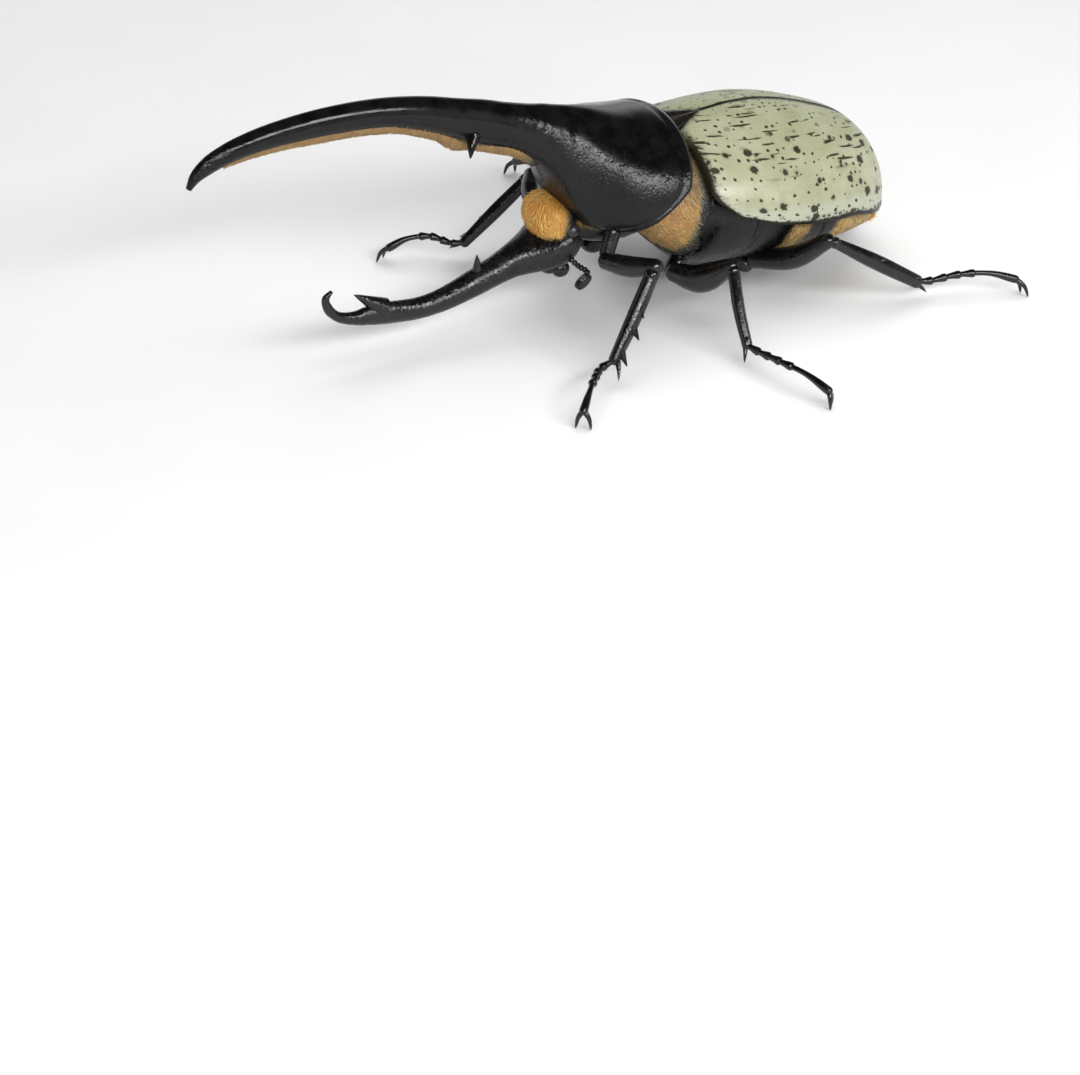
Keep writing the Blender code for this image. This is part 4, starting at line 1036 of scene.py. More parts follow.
class Paint:
    """Builds the nodes of one finish, or of one effect that several finishes share."""

    def __init__(self, tree):
        self.tree = tree

    def node(self, kind, **settings):
        made = self.tree.nodes.new(kind)
        for word, value in settings.items():
            setattr(made, word, value)
        return made

    def feed(self, socket, value):
        if isinstance(value, bpy.types.NodeSocket):
            self.tree.links.new(value, socket)
        else:
            socket.default_value = value

    def maths(self, operation, *values):
        node = self.node("ShaderNodeMath", operation=operation)
        for socket, value in zip(node.inputs, values):
            self.feed(socket, value)
        return node.outputs[0]

    def times(self, first, second):
        return self.maths("MULTIPLY", first, second)

    def largest(self, *values):
        result = values[0]
        for value in values[1:]:
            result = self.maths("MAXIMUM", result, value)
        return result

    def vector(self, operation, *values):
        node = self.node("ShaderNodeVectorMath", operation=operation)
        for socket, value in zip(node.inputs, values):
            self.feed(socket, value)
        return node.outputs[0]

    def rise(self, value, low, high, start=0.0, end=1.0):
        """A smooth change from one level to another while a value runs from low to high."""
        node = self.node("ShaderNodeMapRange", interpolation_type="SMOOTHSTEP")
        given = {"Value": value, "From Min": low, "From Max": high, "To Min": start, "To Max": end}
        for word, level in given.items():
            self.feed(node.inputs[word], level)
        return node.outputs["Result"]

    def tint(self, share, first, second):
        node = self.node("ShaderNodeMix", data_type="RGBA")
        for index, value in ((0, share), (6, first), (7, second)):
            if isinstance(value, tuple):
                value = (*value, 1.0)
            self.feed(node.inputs[index], value)
        return node.outputs[2]

    def noise(self, place, size, detail=2.0):
        node = self.node("ShaderNodeTexNoise")
        self.feed(node.inputs["Vector"], place)
        self.feed(node.inputs["Scale"], self.maths("DIVIDE", 1.0, size))
        self.feed(node.inputs["Detail"], detail)
        return node.outputs["Fac"]

    def cells(self, place, size, flat=False):
        """Distance to the middle of the nearest cell, in cells, and a random colour for each cell."""
        node = self.node("ShaderNodeTexVoronoi", voronoi_dimensions="2D" if flat else "3D")
        self.feed(node.inputs["Vector"], place)
        self.feed(node.inputs["Scale"], self.maths("DIVIDE", 1.0, size))
        return node.outputs["Distance"], self.parts(node.outputs["Color"])

    def parts(self, vector):
        node = self.node("ShaderNodeSeparateXYZ")
        self.feed(node.inputs[0], vector)
        return node.outputs

    def merge(self, x, y, z):
        node = self.node("ShaderNodeCombineXYZ")
        for socket, value in zip(node.inputs, (x, y, z)):
            self.feed(socket, value)
        return node.outputs[0]

    def stored(self, word):
        """A measure that the mesh itself carries."""
        return self.node("ShaderNodeAttribute", attribute_name=word).outputs["Fac"]

    def place(self):
        """The place on the object in millimetres."""
        place = self.node("ShaderNodeTexCoord").outputs["Object"]
        return self.vector("MULTIPLY", place, (1.0 / MM, 1.0 / MM, 1.0 / MM))

    def share(self, effect, **values):
        """One of the shared effects, fed by name."""
        node = self.node("ShaderNodeGroup", node_tree=effect)
        for word, value in values.items():
            self.feed(node.inputs[word.replace("_", " ").title()], value)
        return node.outputs

    def bump(self, height, depth):
        """A relief whose full height is a depth in millimetres."""
        node = self.node("ShaderNodeBump")
        self.feed(node.inputs["Distance"], depth * MM)
        self.feed(node.inputs["Height"], height)
        return node.outputs["Normal"]

    def spray(self, place, measure, clear, full, uneven):
        """Mask of a soft, uneven change, used for sprayed paint and for painted shade and reflection: none
        at one level of a measure and full at another.
        """
        sprayed = self.share(airbrush, place=place, measure=measure, clear=clear, full=full, uneven=uneven)
        return sprayed["Mask"]

    def dots(self, place, cell, radius, share, ragged):
        """Mask and halo of flicked dots in a share of the cells."""
        return self.share(paint_dots, place=place, cell=cell, radius=radius, share=share, ragged=ragged)

    def cover(self, colour, roughness, height, depth):
        """Gives a finish its colour, its roughness and a relief of a depth in millimetres."""
        surface = self.tree.nodes["Principled BSDF"].inputs
        self.feed(surface["Base Color"], colour)
        self.feed(surface["Roughness"], roughness)
        self.feed(surface["Normal"], self.bump(height, depth))


def start_effect(name, takes, gives):
    """A shared effect with named inputs and outputs, still empty."""
    tree = bpy.data.node_groups.new(name, "ShaderNodeTree")
    for word, value in takes.items():
        kind = "NodeSocketVector" if word == "Place" else "NodeSocketFloat"
        socket = tree.interface.new_socket(word, in_out="INPUT", socket_type=kind)
        if word != "Place":
            socket.default_value = value
    for word in gives:
        tree.interface.new_socket(word, in_out="OUTPUT", socket_type="NodeSocketFloat")
    paint = Paint(tree)
    return tree, paint, paint.node("NodeGroupInput").outputs, paint.node("NodeGroupOutput").inputs


def make_fine_relief():
    """Moulded plastic seen close: slow ripples, a fine grain and small pits."""
    takes = {"Place": None, "Grain": 0.4, "Ripple": 3.0}
    tree, paint, given, result = start_effect("fine_relief", takes, ("Height", "Wear"))
    grain = paint.noise(given["Place"], given["Grain"], 3.0)
    ripple = paint.noise(given["Place"], given["Ripple"], 2.0)
    distance, _ = paint.cells(given["Place"], paint.times(given["Grain"], 1.7))
    pits = paint.rise(distance, 0.05, 0.5)
    rough = paint.maths("MULTIPLY_ADD", pits, 0.35, paint.times(grain, 0.5))
    paint.feed(result["Height"], paint.maths("MULTIPLY_ADD", ripple, 0.8, rough))
    wear = paint.maths("MULTIPLY_ADD", ripple, 0.6, paint.times(grain, 0.4))
    paint.feed(result["Wear"], paint.rise(wear, 0.36, 0.64))
    return tree


def make_airbrush():
    """Sprayed paint and painted shade: a soft, slightly uneven change between two levels of a measure."""
    takes = {"Place": None, "Measure": 0.0, "Clear": 0.0, "Full": 1.0, "Uneven": 0.5}
    tree, paint, given, result = start_effect("airbrush", takes, ("Mask",))
    shake = paint.maths("SUBTRACT", paint.noise(given["Place"], 1.3, 3.0), 0.5)
    measure = paint.maths("MULTIPLY_ADD", shake, given["Uneven"], given["Measure"])
    paint.feed(result["Mask"], paint.rise(measure, given["Clear"], given["Full"]))
    return tree


def make_paint_dots():
    """Flicked paint: ragged dots of mixed size, one in some of the cells."""
    takes = {"Place": None, "Cell": 4.0, "Radius": 0.8, "Share": 0.5, "Ragged": 0.4}
    tree, paint, given, result = start_effect("paint_dots", takes, ("Mask", "Halo"))
    distance, chance = paint.cells(given["Place"], given["Cell"], flat=True)
    away = paint.times(distance, given["Cell"])
    shake = paint.maths("SUBTRACT", paint.noise(given["Place"], 0.7, 3.0), 0.5)
    away = paint.maths("MULTIPLY_ADD", shake, given["Ragged"], away)
    painted = paint.maths("LESS_THAN", chance[0], given["Share"])
    radius = paint.times(given["Radius"], paint.rise(chance[1], 0.0, 1.0, 0.4, 1.0))
    radius = paint.times(radius, painted)
    beyond = paint.maths("SUBTRACT", away, radius)
    paint.feed(result["Mask"], paint.times(paint.rise(beyond, 0.1, -0.1), painted))
    paint.feed(result["Halo"], paint.times(paint.rise(beyond, 0.7, -0.1), painted))
    return tree


fine_relief = make_fine_relief()
airbrush = make_airbrush()
paint_dots = make_paint_dots()


def start_finish(name, **constants):
    """A new finish with its helper and the place on the object. Constants go to its sockets by name."""
    made = bpy.data.materials.new(name)
    made.use_nodes = True
    shader = made.node_tree.nodes["Principled BSDF"]
    for word, value in constants.items():
        shader.inputs[word.replace("_", " ")].default_value = value
    paint = Paint(made.node_tree)
    return made, paint, paint.place()


# Finishes

DEEP_BLACK = (0.0018, 0.0018, 0.002)
WORN_BLACK = (0.005, 0.005, 0.0055)
OCHRE = (0.70, 0.40, 0.075)
PALE_OCHRE = (0.90, 0.62, 0.2)
# painted shade for the roots of the hair tufts and the skin between them
ROOT_SHADE_OCHRE = (0.40, 0.16, 0.025)
OLIVE_DARK = (0.012, 0.011, 0.004)
# painted reflection of the pale floor on the dome's flanks
FLANK_REFLECTION_BLACK = (0.006, 0.006, 0.0065)
PLATE_BLACK = (0.002, 0.002, 0.0022)
PLATE_BRONZE = (0.010, 0.008, 0.006)
WING_GREEN = (0.285, 0.295, 0.185)
WING_GREEN_LIGHT = (0.385, 0.39, 0.285)
WING_GREEN_DEEP = (0.24, 0.25, 0.15)
WING_MARGIN_PALE = (0.38, 0.40, 0.325)
WING_TIRED = (0.2, 0.185, 0.09)
DOT_HALO = (0.12, 0.1, 0.035)
# partly dark paint, partly painted shade at the front of the wing covers
FRONT_PAINT_AND_SHADE = (0.014, 0.011, 0.005)
MARGIN_DARK = (0.006, 0.006, 0.003)
SEAM_DARK = (0.01, 0.01, 0.005)
HAIR_RUST = (0.62, 0.27, 0.05)
HAIR_DULL = (0.44, 0.32, 0.12)
# sprayed dark paint at the edges of the hair, and painted shade in the chest's upper strip
HAIR_SPRAY_AND_GAP_SHADE = (0.10, 0.095, 0.06)
HAIR_BLACK = (0.012, 0.012, 0.012)
STROKE_DARK = (0.22, 0.13, 0.035)
STROKE_LIGHT = (0.5, 0.34, 0.12)
EYE_DARK = (0.012, 0.011, 0.016)
EYE_LIGHT = (0.03, 0.026, 0.036)
PAPER_DARK = (0.69, 0.69, 0.69)
PAPER_LIGHT = (0.705, 0.705, 0.705)
PATCH_EDGE = 2.4


def black_plastic(name, smooth, rough, grain, depth, ripple=2.4, fresh=DEEP_BLACK, worn=WORN_BLACK):
    """Black plastic whose roughness wanders between two values over a fine relief."""
    made, paint, place = start_finish(name)
    fine = paint.share(fine_relief, place=place, grain=grain, ripple=ripple)
    roughness = paint.rise(fine["Wear"], 0.0, 1.0, smooth, rough)
    paint.cover(paint.tint(fine["Wear"], fresh, worn), roughness, fine["Height"], depth)
    return made


def make_shell_plastic():
    """The dome and great horn: polished on top, rough on the flanks and painted a lighter black there as a
    painted reflection of the floor, grooved at the horn's end.
    """
    made, paint, place = start_finish("polished_shell_plastic", Specular_IOR_Level=0.27)
    _, y, z = paint.parts(place)
    fine = paint.share(fine_relief, place=place, grain=0.45, ripple=3.0)
    behind = paint.rise(y, MIDDLE_Y - 50.0, MIDDLE_Y - 40.0)
    edge_level = paint.rise(y, MIDDLE_Y - 44.0, MIDDLE_Y - 18.0, 45.0, 33.0)
    below = paint.spray(place, paint.maths("SUBTRACT", z, edge_level), 3.0, -1.5, 3.5)
    flank = paint.times(behind, below)
    groove = paint.noise(paint.vector("MULTIPLY", place, (1.5, 0.09, 1.5)), 1.0, 3.0)
    tip = paint.rise(y, MIDDLE_Y - 99.0, MIDDLE_Y - 105.0, 0.12, 1.0)
    horn = paint.times(paint.maths("SUBTRACT", 1.0, behind), tip)
    # The flanks get a lighter black: painted reflection of the pale floor.
    colour = paint.tint(flank, paint.tint(fine["Wear"], DEEP_BLACK, WORN_BLACK), FLANK_REFLECTION_BLACK)
    wear = paint.rise(fine["Wear"], 0.0, 1.0, 0.14, 0.2)
    roughness = paint.maths("MULTIPLY_ADD", flank, 0.13, wear)
    relief = paint.times(fine["Height"], paint.rise(flank, 0.0, 1.0, 0.25, 1.9))
    relief = paint.maths("MULTIPLY_ADD", groove, paint.times(horn, 5.0), relief)
    paint.cover(colour, roughness, relief, 0.06)
    return made


def make_wing_paint():
    """Pale green wing covers: flicked dark dots, streaks along the seam, sprayed dark margins, and a
    darkened front where they meet the chest under the dome's rim, partly brushed dark paint and partly
    painted shade.
    """
    made, paint, place = start_finish("speckled_wing_paint", Specular_IOR_Level=0.3)
    x, y, _ = paint.parts(place)
    seam = paint.stored("from_seam")
    margin = paint.stored("from_margin")
    front = paint.stored("from_front")
    side = paint.maths("SIGN", x)
    flat = paint.merge(margin, paint.maths("MULTIPLY_ADD", side, 137.0, y), 0.0)

    big = paint.dots(flat, 3.9, 0.95, 0.6, 1.1)
    small = paint.dots(paint.vector("ADD", flat, (3.1, 1.7, 2.0)), 2.0, 0.4, 0.5, 0.5)
    streaks = paint.dots(paint.vector("MULTIPLY", flat, (1.0, 0.14, 1.0)), 1.5, 0.27, 0.75, 1.5)
    rows = paint.times(paint.rise(margin, 10.0, 13.0), paint.rise(seam, 1.5, 3.0))
    toward_rear = paint.rise(y, MIDDLE_Y + 38.0, MIDDLE_Y + 28.0, 0.6, 1.0)
    sides = paint.rise(margin, 24.0, 17.0, 0.35, 1.0)
    crowded = paint.dots(flat, 1.5, 0.6, 0.75, 0.7)
    fringe = paint.times(crowded["Mask"], paint.rise(margin, 3.2, 1.6))
    spots = paint.largest(paint.times(big["Mask"], sides), paint.times(small["Mask"], toward_rear),
                          paint.times(streaks["Mask"], rows), fringe)
    halo = paint.times(big["Halo"], paint.times(sides, 0.3))

    colour = paint.tint(paint.rise(paint.noise(place, 8.0, 3.0), 0.35, 0.68), WING_GREEN, WING_GREEN_LIGHT)
    colour = paint.tint(paint.rise(margin, 4.0, 18.0, 0.0, 0.6), colour, WING_GREEN_DEEP)
    colour = paint.tint(paint.rise(margin, 7.0, 2.5, 0.0, 0.7), colour, WING_MARGIN_PALE)
    tired = paint.rise(paint.noise(paint.vector("MULTIPLY", flat, (1.0, 0.35, 1.0)), 2.5, 4.0), 0.52, 0.72)
    colour = paint.tint(paint.times(tired, 0.25), colour, WING_TIRED)
    colour = paint.tint(halo, colour, DOT_HALO)
    colour = paint.tint(paint.times(spots, 0.95), colour, OLIVE_DARK)
    # The front of each cover, where it meets the chest under the dome's rim, is darkened: partly brushed
    # dark paint, partly painted shade.
    brushed = paint.vector("MULTIPLY", flat, (1.4, 0.4, 1.0))
    strokes = paint.rise(paint.noise(brushed, 0.8, 4.0), 0.42, 0.6, 0.3, 1.0)
    lip = paint.spray(place, front, 1.3, 0.8, 0.7)
    at_front = paint.largest(paint.times(paint.spray(place, front, 2.6, 0.9, 3.0), strokes), lip)
    at_side = paint.rise(margin, 26.0, 18.0, 0.55, 1.0)
    colour = paint.tint(paint.times(at_front, at_side), colour, FRONT_PAINT_AND_SHADE)
    colour = paint.tint(paint.spray(place, margin, 1.7, 0.9, 0.8), colour, MARGIN_DARK)
    colour = paint.tint(paint.spray(place, seam, 1.5, 0.45, 0.9), colour, SEAM_DARK)
    fine = paint.share(fine_relief, place=place, grain=0.5, ripple=4.0)
    gloss = paint.rise(fine["Wear"], 0.0, 1.0, 0.27, 0.38)
    roughness = paint.maths("MULTIPLY_ADD", spots, 0.12, gloss)
    paint.cover(colour, roughness, paint.maths("MULTIPLY_ADD", spots, 0.5, fine["Height"]), 0.035)
    return made


def make_hair_paint():
    """Ochre paint over sculpted hair, with painted shade toward the roots and between the tufts, and
    sprayed dark and black at its edges, which on the chest's upper strip is painted shade.
    """
    made, paint, place = start_finish("ochre_hair_paint")
    tone = paint.stored("tone")
    along = paint.stored("along")
    shade = paint.stored("shade")
    colour = paint.tint(tone, OCHRE, PALE_OCHRE)
    patch = paint.rise(paint.noise(place, 3.0, 3.0), 0.42, 0.62)
    colour = paint.tint(paint.times(patch, 0.6), colour, HAIR_RUST)
    dull = paint.rise(paint.noise(paint.vector("ADD", place, (7.0, 5.0, 3.0)), 2.4, 3.0), 0.5, 0.64)
    colour = paint.tint(paint.times(dull, 0.5), colour, HAIR_DULL)
    # Painted shade: darker toward the roots of the tufts and on the skin between them.
    colour = paint.tint(paint.times(paint.rise(along, 0.55, 0.0), 0.7), colour, ROOT_SHADE_OCHRE)
    # Sprayed dark paint at the edges of the hair; in the chest's upper strip it is painted shade.
    colour = paint.tint(paint.spray(place, shade, 0.1, 0.8, 0.3), colour, HAIR_SPRAY_AND_GAP_SHADE)
    colour = paint.tint(paint.spray(place, shade, 0.6, 1.0, 0.2), colour, HAIR_BLACK)
    paint.cover(colour, paint.rise(shade, 0.3, 1.0, 0.55, 0.35), paint.noise(place, 0.25, 2.0), 0.05)
    return made


def body_paint(name, patches, low):
    """Satin black with sprayed ochre patches: each runs between two places along the body."""
    made, paint, place = start_finish(name, Specular_IOR_Level=0.32)
    _, y, z = paint.parts(place)
    fine = paint.share(fine_relief, place=place, grain=0.35, ripple=2.0)
    leaning = paint.maths("MULTIPLY_ADD", z, -0.35, paint.maths("ADD", y, 4.9))
    masks = []
    for start, end in patches:
        begun = paint.spray(place, leaning, MIDDLE_Y + start, MIDDLE_Y + start + PATCH_EDGE, 1.6)
        ended = paint.spray(place, leaning, MIDDLE_Y + end, MIDDLE_Y + end - PATCH_EDGE, 1.6)
        masks.append(paint.times(begun, ended))
    mask = paint.times(paint.largest(*masks), paint.spray(place, z, low, low + 3.0, 1.5))
    brushed = paint.vector("MULTIPLY", place, (1.0, 1.6, 0.35))
    strokes = paint.rise(paint.noise(brushed, 0.6, 3.0), 0.3, 0.7)
    ochre = paint.tint(strokes, STROKE_DARK, STROKE_LIGHT)
    colour = paint.tint(mask, paint.tint(fine["Wear"], DEEP_BLACK, WORN_BLACK), ochre)
    gloss = paint.rise(fine["Wear"], 0.0, 1.0, 0.22, 0.34)
    roughness = paint.maths("MULTIPLY_ADD", mask, 0.25, gloss)
    height = paint.maths("MULTIPLY_ADD", strokes, paint.times(mask, 2.0), fine["Height"])
    paint.cover(colour, roughness, height, 0.06)
    return made


def make_eye_gloss():
    made, paint, place = start_finish("faceted_eye_gloss")
    distance, chance = paint.cells(place, 0.17)
    colour = paint.tint(chance[0], EYE_DARK, EYE_LIGHT)
    roughness = paint.rise(distance, 0.2, 0.7, 0.1, 0.3)
    paint.cover(colour, roughness, paint.maths("SUBTRACT", 1.0, distance), 0.03)
    return made


# Sculpted hair

TUFT_CONE = {"Vertices": 5, "Side Segments": 3, "Radius Top": 0.12, "Radius Bottom": 0.5, "Depth": 1.0}
TUFT_SIZES = {"Spacing": 0.4 * MM, "Tuft Length": 1.5 * MM, "Tuft Width": 0.2 * MM, "Lean": 0.75}
TUFT_CURL = 1.1
TUFT_SINK = -0.12
TUFT_PATCH = 0.003
TUFT_STRAY = 0.25
MOST_TUFTS = 2.0e7
ISLAND_PLACE = (0.02, 0.03)
ISLAND_SIZE = 0.94


def make_tuft_tree():
    """Covers a skin with short curved tufts that lean along its stored lie."""
    tree = bpy.data.node_groups.new("sculpted_tufts", "GeometryNodeTree")
    face = tree.interface
    face.new_socket("Skin", in_out="INPUT", socket_type="NodeSocketGeometry")
    for word, value in TUFT_SIZES.items():
        face.new_socket(word, in_out="INPUT", socket_type="NodeSocketFloat").default_value = value
    face.new_socket("Seed", in_out="INPUT", socket_type="NodeSocketInt").default_value = 1
    face.new_socket("Finish", in_out="INPUT", socket_type="NodeSocketMaterial")
    face.new_socket("Coat", in_out="OUTPUT", socket_type="NodeSocketGeometry")
    build = Paint(tree)
    given = build.node("NodeGroupInput").outputs

    def named(word, kind):
        node = build.node("GeometryNodeInputNamedAttribute", data_type=kind)
        node.inputs["Name"].default_value = word
        return node.outputs["Attribute"]

    def store(geometry, word, kind, domain, value):
        node = build.node("GeometryNodeStoreNamedAttribute", data_type=kind, domain=domain)
        build.feed(node.inputs["Geometry"], geometry)
        node.inputs["Name"].default_value = word
        build.feed(node.inputs["Value"], value)
        return node.outputs["Geometry"]

    def chance(low, high, shift):
        node = build.node("FunctionNodeRandomValue", data_type="FLOAT")
        floats = [socket for socket in node.inputs if socket.type == "VALUE" and socket.enabled]
        floats[0].default_value = low
        floats[1].default_value = high
        build.feed(node.inputs["Seed"], build.maths("ADD", given["Seed"], shift))
        return next(socket for socket in node.outputs if socket.enabled)

    spread = build.node("GeometryNodeDistributePointsOnFaces", distribute_method="POISSON")
    build.feed(spread.inputs["Mesh"], given["Skin"])
    build.feed(spread.inputs["Distance Min"], given["Spacing"])
    spread.inputs["Density Max"].default_value = MOST_TUFTS
    build.feed(spread.inputs["Density Factor"], named("coat", "FLOAT"))
    build.feed(spread.inputs["Seed"], given["Seed"])
    unwrapped = named("OFBake", "FLOAT_VECTOR")
    roots = store(spread.outputs["Points"], "root_place", "FLOAT_VECTOR", "POINT", unwrapped)
    roots = store(roots, "tone", "FLOAT", "POINT", chance(0.0, 1.0, 3.0))

    strand = build.node("GeometryNodeMeshCone", fill_type="NGON")
    for word, value in TUFT_CONE.items():
        strand.inputs[word].default_value = value
    position = build.node("GeometryNodeInputPosition").outputs[0]
    up = build.parts(position)[2]
    squared = build.times(up, up)
    bend = build.merge(build.times(squared, TUFT_CURL), 0.0, build.times(squared, TUFT_SINK))
    move = build.node("GeometryNodeSetPosition")
    build.feed(move.inputs["Geometry"], strand.outputs["Mesh"])
    build.feed(move.inputs["Offset"], bend)
    single = store(move.outputs["Geometry"], "along", "FLOAT", "POINT", up)
    single = store(single, "tuft_place", "FLOAT_VECTOR", "CORNER", strand.outputs["UV Map"])

    lie = build.vector("NORMALIZE", named("lie", "FLOAT_VECTOR"))
    stray = build.merge(*(chance(-TUFT_STRAY, TUFT_STRAY, shift) for shift in (5.0, 7.0, 9.0)))
    lie = build.vector("ADD", lie, stray)
    flat = build.vector("SCALE", lie)
    build.feed(flat.node.inputs["Scale"], given["Lean"])
    raised = build.vector("SCALE", spread.outputs["Normal"])
    build.feed(raised.node.inputs["Scale"], build.maths("SUBTRACT", 1.0, given["Lean"]))
    grow = build.vector("ADD", flat, raised)
    turn = build.node("FunctionNodeAxesToRotation", primary_axis="Z", secondary_axis="X")
    build.feed(turn.inputs["Primary Axis"], grow)
    build.feed(turn.inputs["Secondary Axis"], lie)
    wide = build.times(given["Tuft Width"], chance(0.7, 1.35, 11.0))
    long = build.times(given["Tuft Length"], chance(0.6, 1.25, 13.0))
    place = build.node("GeometryNodeInstanceOnPoints")
    build.feed(place.inputs["Points"], roots)
    build.feed(place.inputs["Instance"], single)
    build.feed(place.inputs["Rotation"], turn.outputs["Rotation"])
    build.feed(place.inputs["Scale"], build.merge(wide, wide, long))

    real = build.node("GeometryNodeRealizeInstances")
    build.feed(real.inputs["Geometry"], place.outputs["Instances"])
    patch = build.vector("MULTIPLY", named("tuft_place", "FLOAT_VECTOR"), (TUFT_PATCH, TUFT_PATCH, 0.0))
    tufts = store(real.outputs["Geometry"], "OFBake", "FLOAT2", "CORNER",
                  build.vector("ADD", named("root_place", "FLOAT_VECTOR"), patch))
    join = build.node("GeometryNodeJoinGeometry")
    build.feed(join.inputs["Geometry"], tufts)
    build.feed(join.inputs["Geometry"], given["Skin"])
    every = build.node("GeometryNodeRealizeInstances")
    build.feed(every.inputs["Geometry"], join.outputs["Geometry"])
    clothe = build.node("GeometryNodeSetMaterial")
    build.feed(clothe.inputs["Geometry"], every.outputs["Geometry"])
    build.feed(clothe.inputs["Material"], given["Finish"])
    build.feed(build.node("NodeGroupOutput").inputs["Coat"], clothe.outputs["Geometry"])
    return tree


tuft_tree = make_tuft_tree()


def unwrap(piece, count):
    """Unwraps a skin of rings: round it one way and along it the other."""
    mesh = piece.data
    ring_points = len(mesh.vertices) - 2
    rows = ring_points // count
    layer = mesh.uv_layers.new(name="OFBake")
    for polygon in mesh.polygons:
        places = []
        for vertex in polygon.vertices:
            if vertex < ring_points:
                places.append([(vertex % count) / count, (vertex // count) / (rows - 1)])
            else:
                places.append([None, 0.0 if vertex == ring_points else 1.0])
        known = [u for u, _ in places if u is not None]
        if max(known) - min(known) > 0.5:
            known = [u + 1.0 if u < 0.5 else u for u in known]
            places = [[u + 1.0 if u is not None and u < 0.5 else u, v] for u, v in places]
        middle = sum(known) / len(known)
        for loop, (u, v) in zip(polygon.loop_indices, places):
            u = middle if u is None else u
            layer.data[loop].uv = (ISLAND_PLACE[0] + ISLAND_SIZE * u, ISLAND_PLACE[1] + ISLAND_SIZE * v)


def comb(piece, lie, coat, shade):
    """Stores the lie, the cover and the sprayed shade of the hair at each point of a skin; on the chest's
    upper strip the shade also holds painted shade.

    A lie has its share of the point's own side, then the way along the body and the way up.
    """
    mesh = piece.data
    lies = []
    coats = []
    shades = []
    for vert in mesh.vertices:
        x, y, z = vert.co / MM
        y -= MIDDLE_Y
        way = Vector((lie[0] * x, lie[1], lie[2]))
        normal = Vector(vert.normal)
        way = way - normal * way.dot(normal)
        lies.extend(way.normalized() if way.length > 1e-4 else (0.0, 0.0, -1.0))
        coats.append(coat(x, y, z))
        shades.append(shade(x, y, z))
    mesh.attributes.new("lie", "FLOAT_VECTOR", "POINT").data.foreach_set("vector", lies)
    mesh.attributes.new("coat", "FLOAT", "POINT").data.foreach_set("value", coats)
    mesh.attributes.new("shade", "FLOAT", "POINT").data.foreach_set("value", shades)


def grow_hair(piece, finish, spacing, length, width, lean, seed):
    """Turns a combed skin and its tufts into one plain mesh."""
    modifier = piece.modifiers.new("tufts", "NODES")
    modifier.node_group = tuft_tree
    chosen = {"Spacing": spacing * MM, "Tuft Length": length * MM, "Tuft Width": width * MM, "Lean": lean,
              "Seed": seed, "Finish": finish}
    for item in tuft_tree.interface.items_tree:
        if item.in_out == "INPUT" and item.name in chosen:
            modifier[item.identifier] = chosen[item.name]
    graph = bpy.context.evaluated_depsgraph_get()
    grown = piece.evaluated_get(graph)
    mesh = bpy.data.meshes.new_from_object(grown, preserve_all_data_layers=True, depsgraph=graph)
    piece.modifiers.clear()
    for word in ("lie", "coat", "root_place", "tuft_place"):
        if word in mesh.attributes:
            mesh.attributes.remove(mesh.attributes[word])
    mesh.polygons.foreach_set("material_index", [0] * len(mesh.polygons))
    mesh.shade_smooth()
    piece.data = mesh


# Studio

CAMERA_AZIMUTH = 58.36
CAMERA_ELEVATION = 34.11
CAMERA_ROLL = 1.62
CAMERA_PLACE = (428.79, -298.34, 286.88)
CAMERA_LENS = 95.39
WALL_LIGHT = 0.85
CEILING_LIGHT = 0.03
SKY_EDGE_LOW = 0.12
SKY_EDGE_HIGH = 0.42
LAMPS = (
    # name, place, the point it looks at, size in metres, power, and whether the gloss mirrors it
    ("overhead_softbox", (-0.12, 0.1, 0.85), (0.0, 0.0, 0.0), (1.1, 1.1), 8.6, False),
    ("flank_softbox", (0.52, 0.0, 0.39), (0.0, 0.0, 0.03), (0.76, 0.12), 5.2, True),
)


def make_camera():
    data = bpy.data.cameras.new("photo_camera")
    data.lens = CAMERA_LENS
    data.sensor_width = 36.0
    data.clip_start = 0.01
    data.clip_end = 20.0
    camera = bpy.data.objects.new("photo_camera", data)
    bpy.context.scene.collection.objects.link(camera)
    a = math.radians(CAMERA_AZIMUTH)
    e = math.radians(CAMERA_ELEVATION)
    back = Vector((math.sin(a) * math.cos(e), -math.cos(a) * math.cos(e), math.sin(e)))
    right = Vector((math.cos(a), math.sin(a), 0.0))
    up = back.cross(right)
    roll = math.radians(CAMERA_ROLL)
    turned_right = right * math.cos(roll) + up * math.sin(roll)
    turned_up = up * math.cos(roll) - right * math.sin(roll)
    place = Vector(CAMERA_PLACE) + Vector((0.0, MIDDLE_Y, 0.0))
    matrix = Matrix((turned_right, turned_up, back)).transposed().to_4x4()
    matrix.translation = place * MM
    camera.matrix_world = matrix
    bpy.context.scene.camera = camera


def make_lamp(name, place, aim, size, power, in_gloss):
    """A softbox. One that isn't in the gloss lights the figure but isn't mirrored by it."""
    data = bpy.data.lights.new(name, "AREA")
    data.shape = "RECTANGLE"
    data.size, data.size_y = size
    data.energy = power
    lamp = bpy.data.objects.new(name, data)
    bpy.context.scene.collection.objects.link(lamp)
    lamp.location = place
    lamp.rotation_mode = "QUATERNION"
    lamp.rotation_quaternion = (Vector(aim) - Vector(place)).to_track_quat("-Z", "Y")
    lamp.visible_glossy = in_gloss


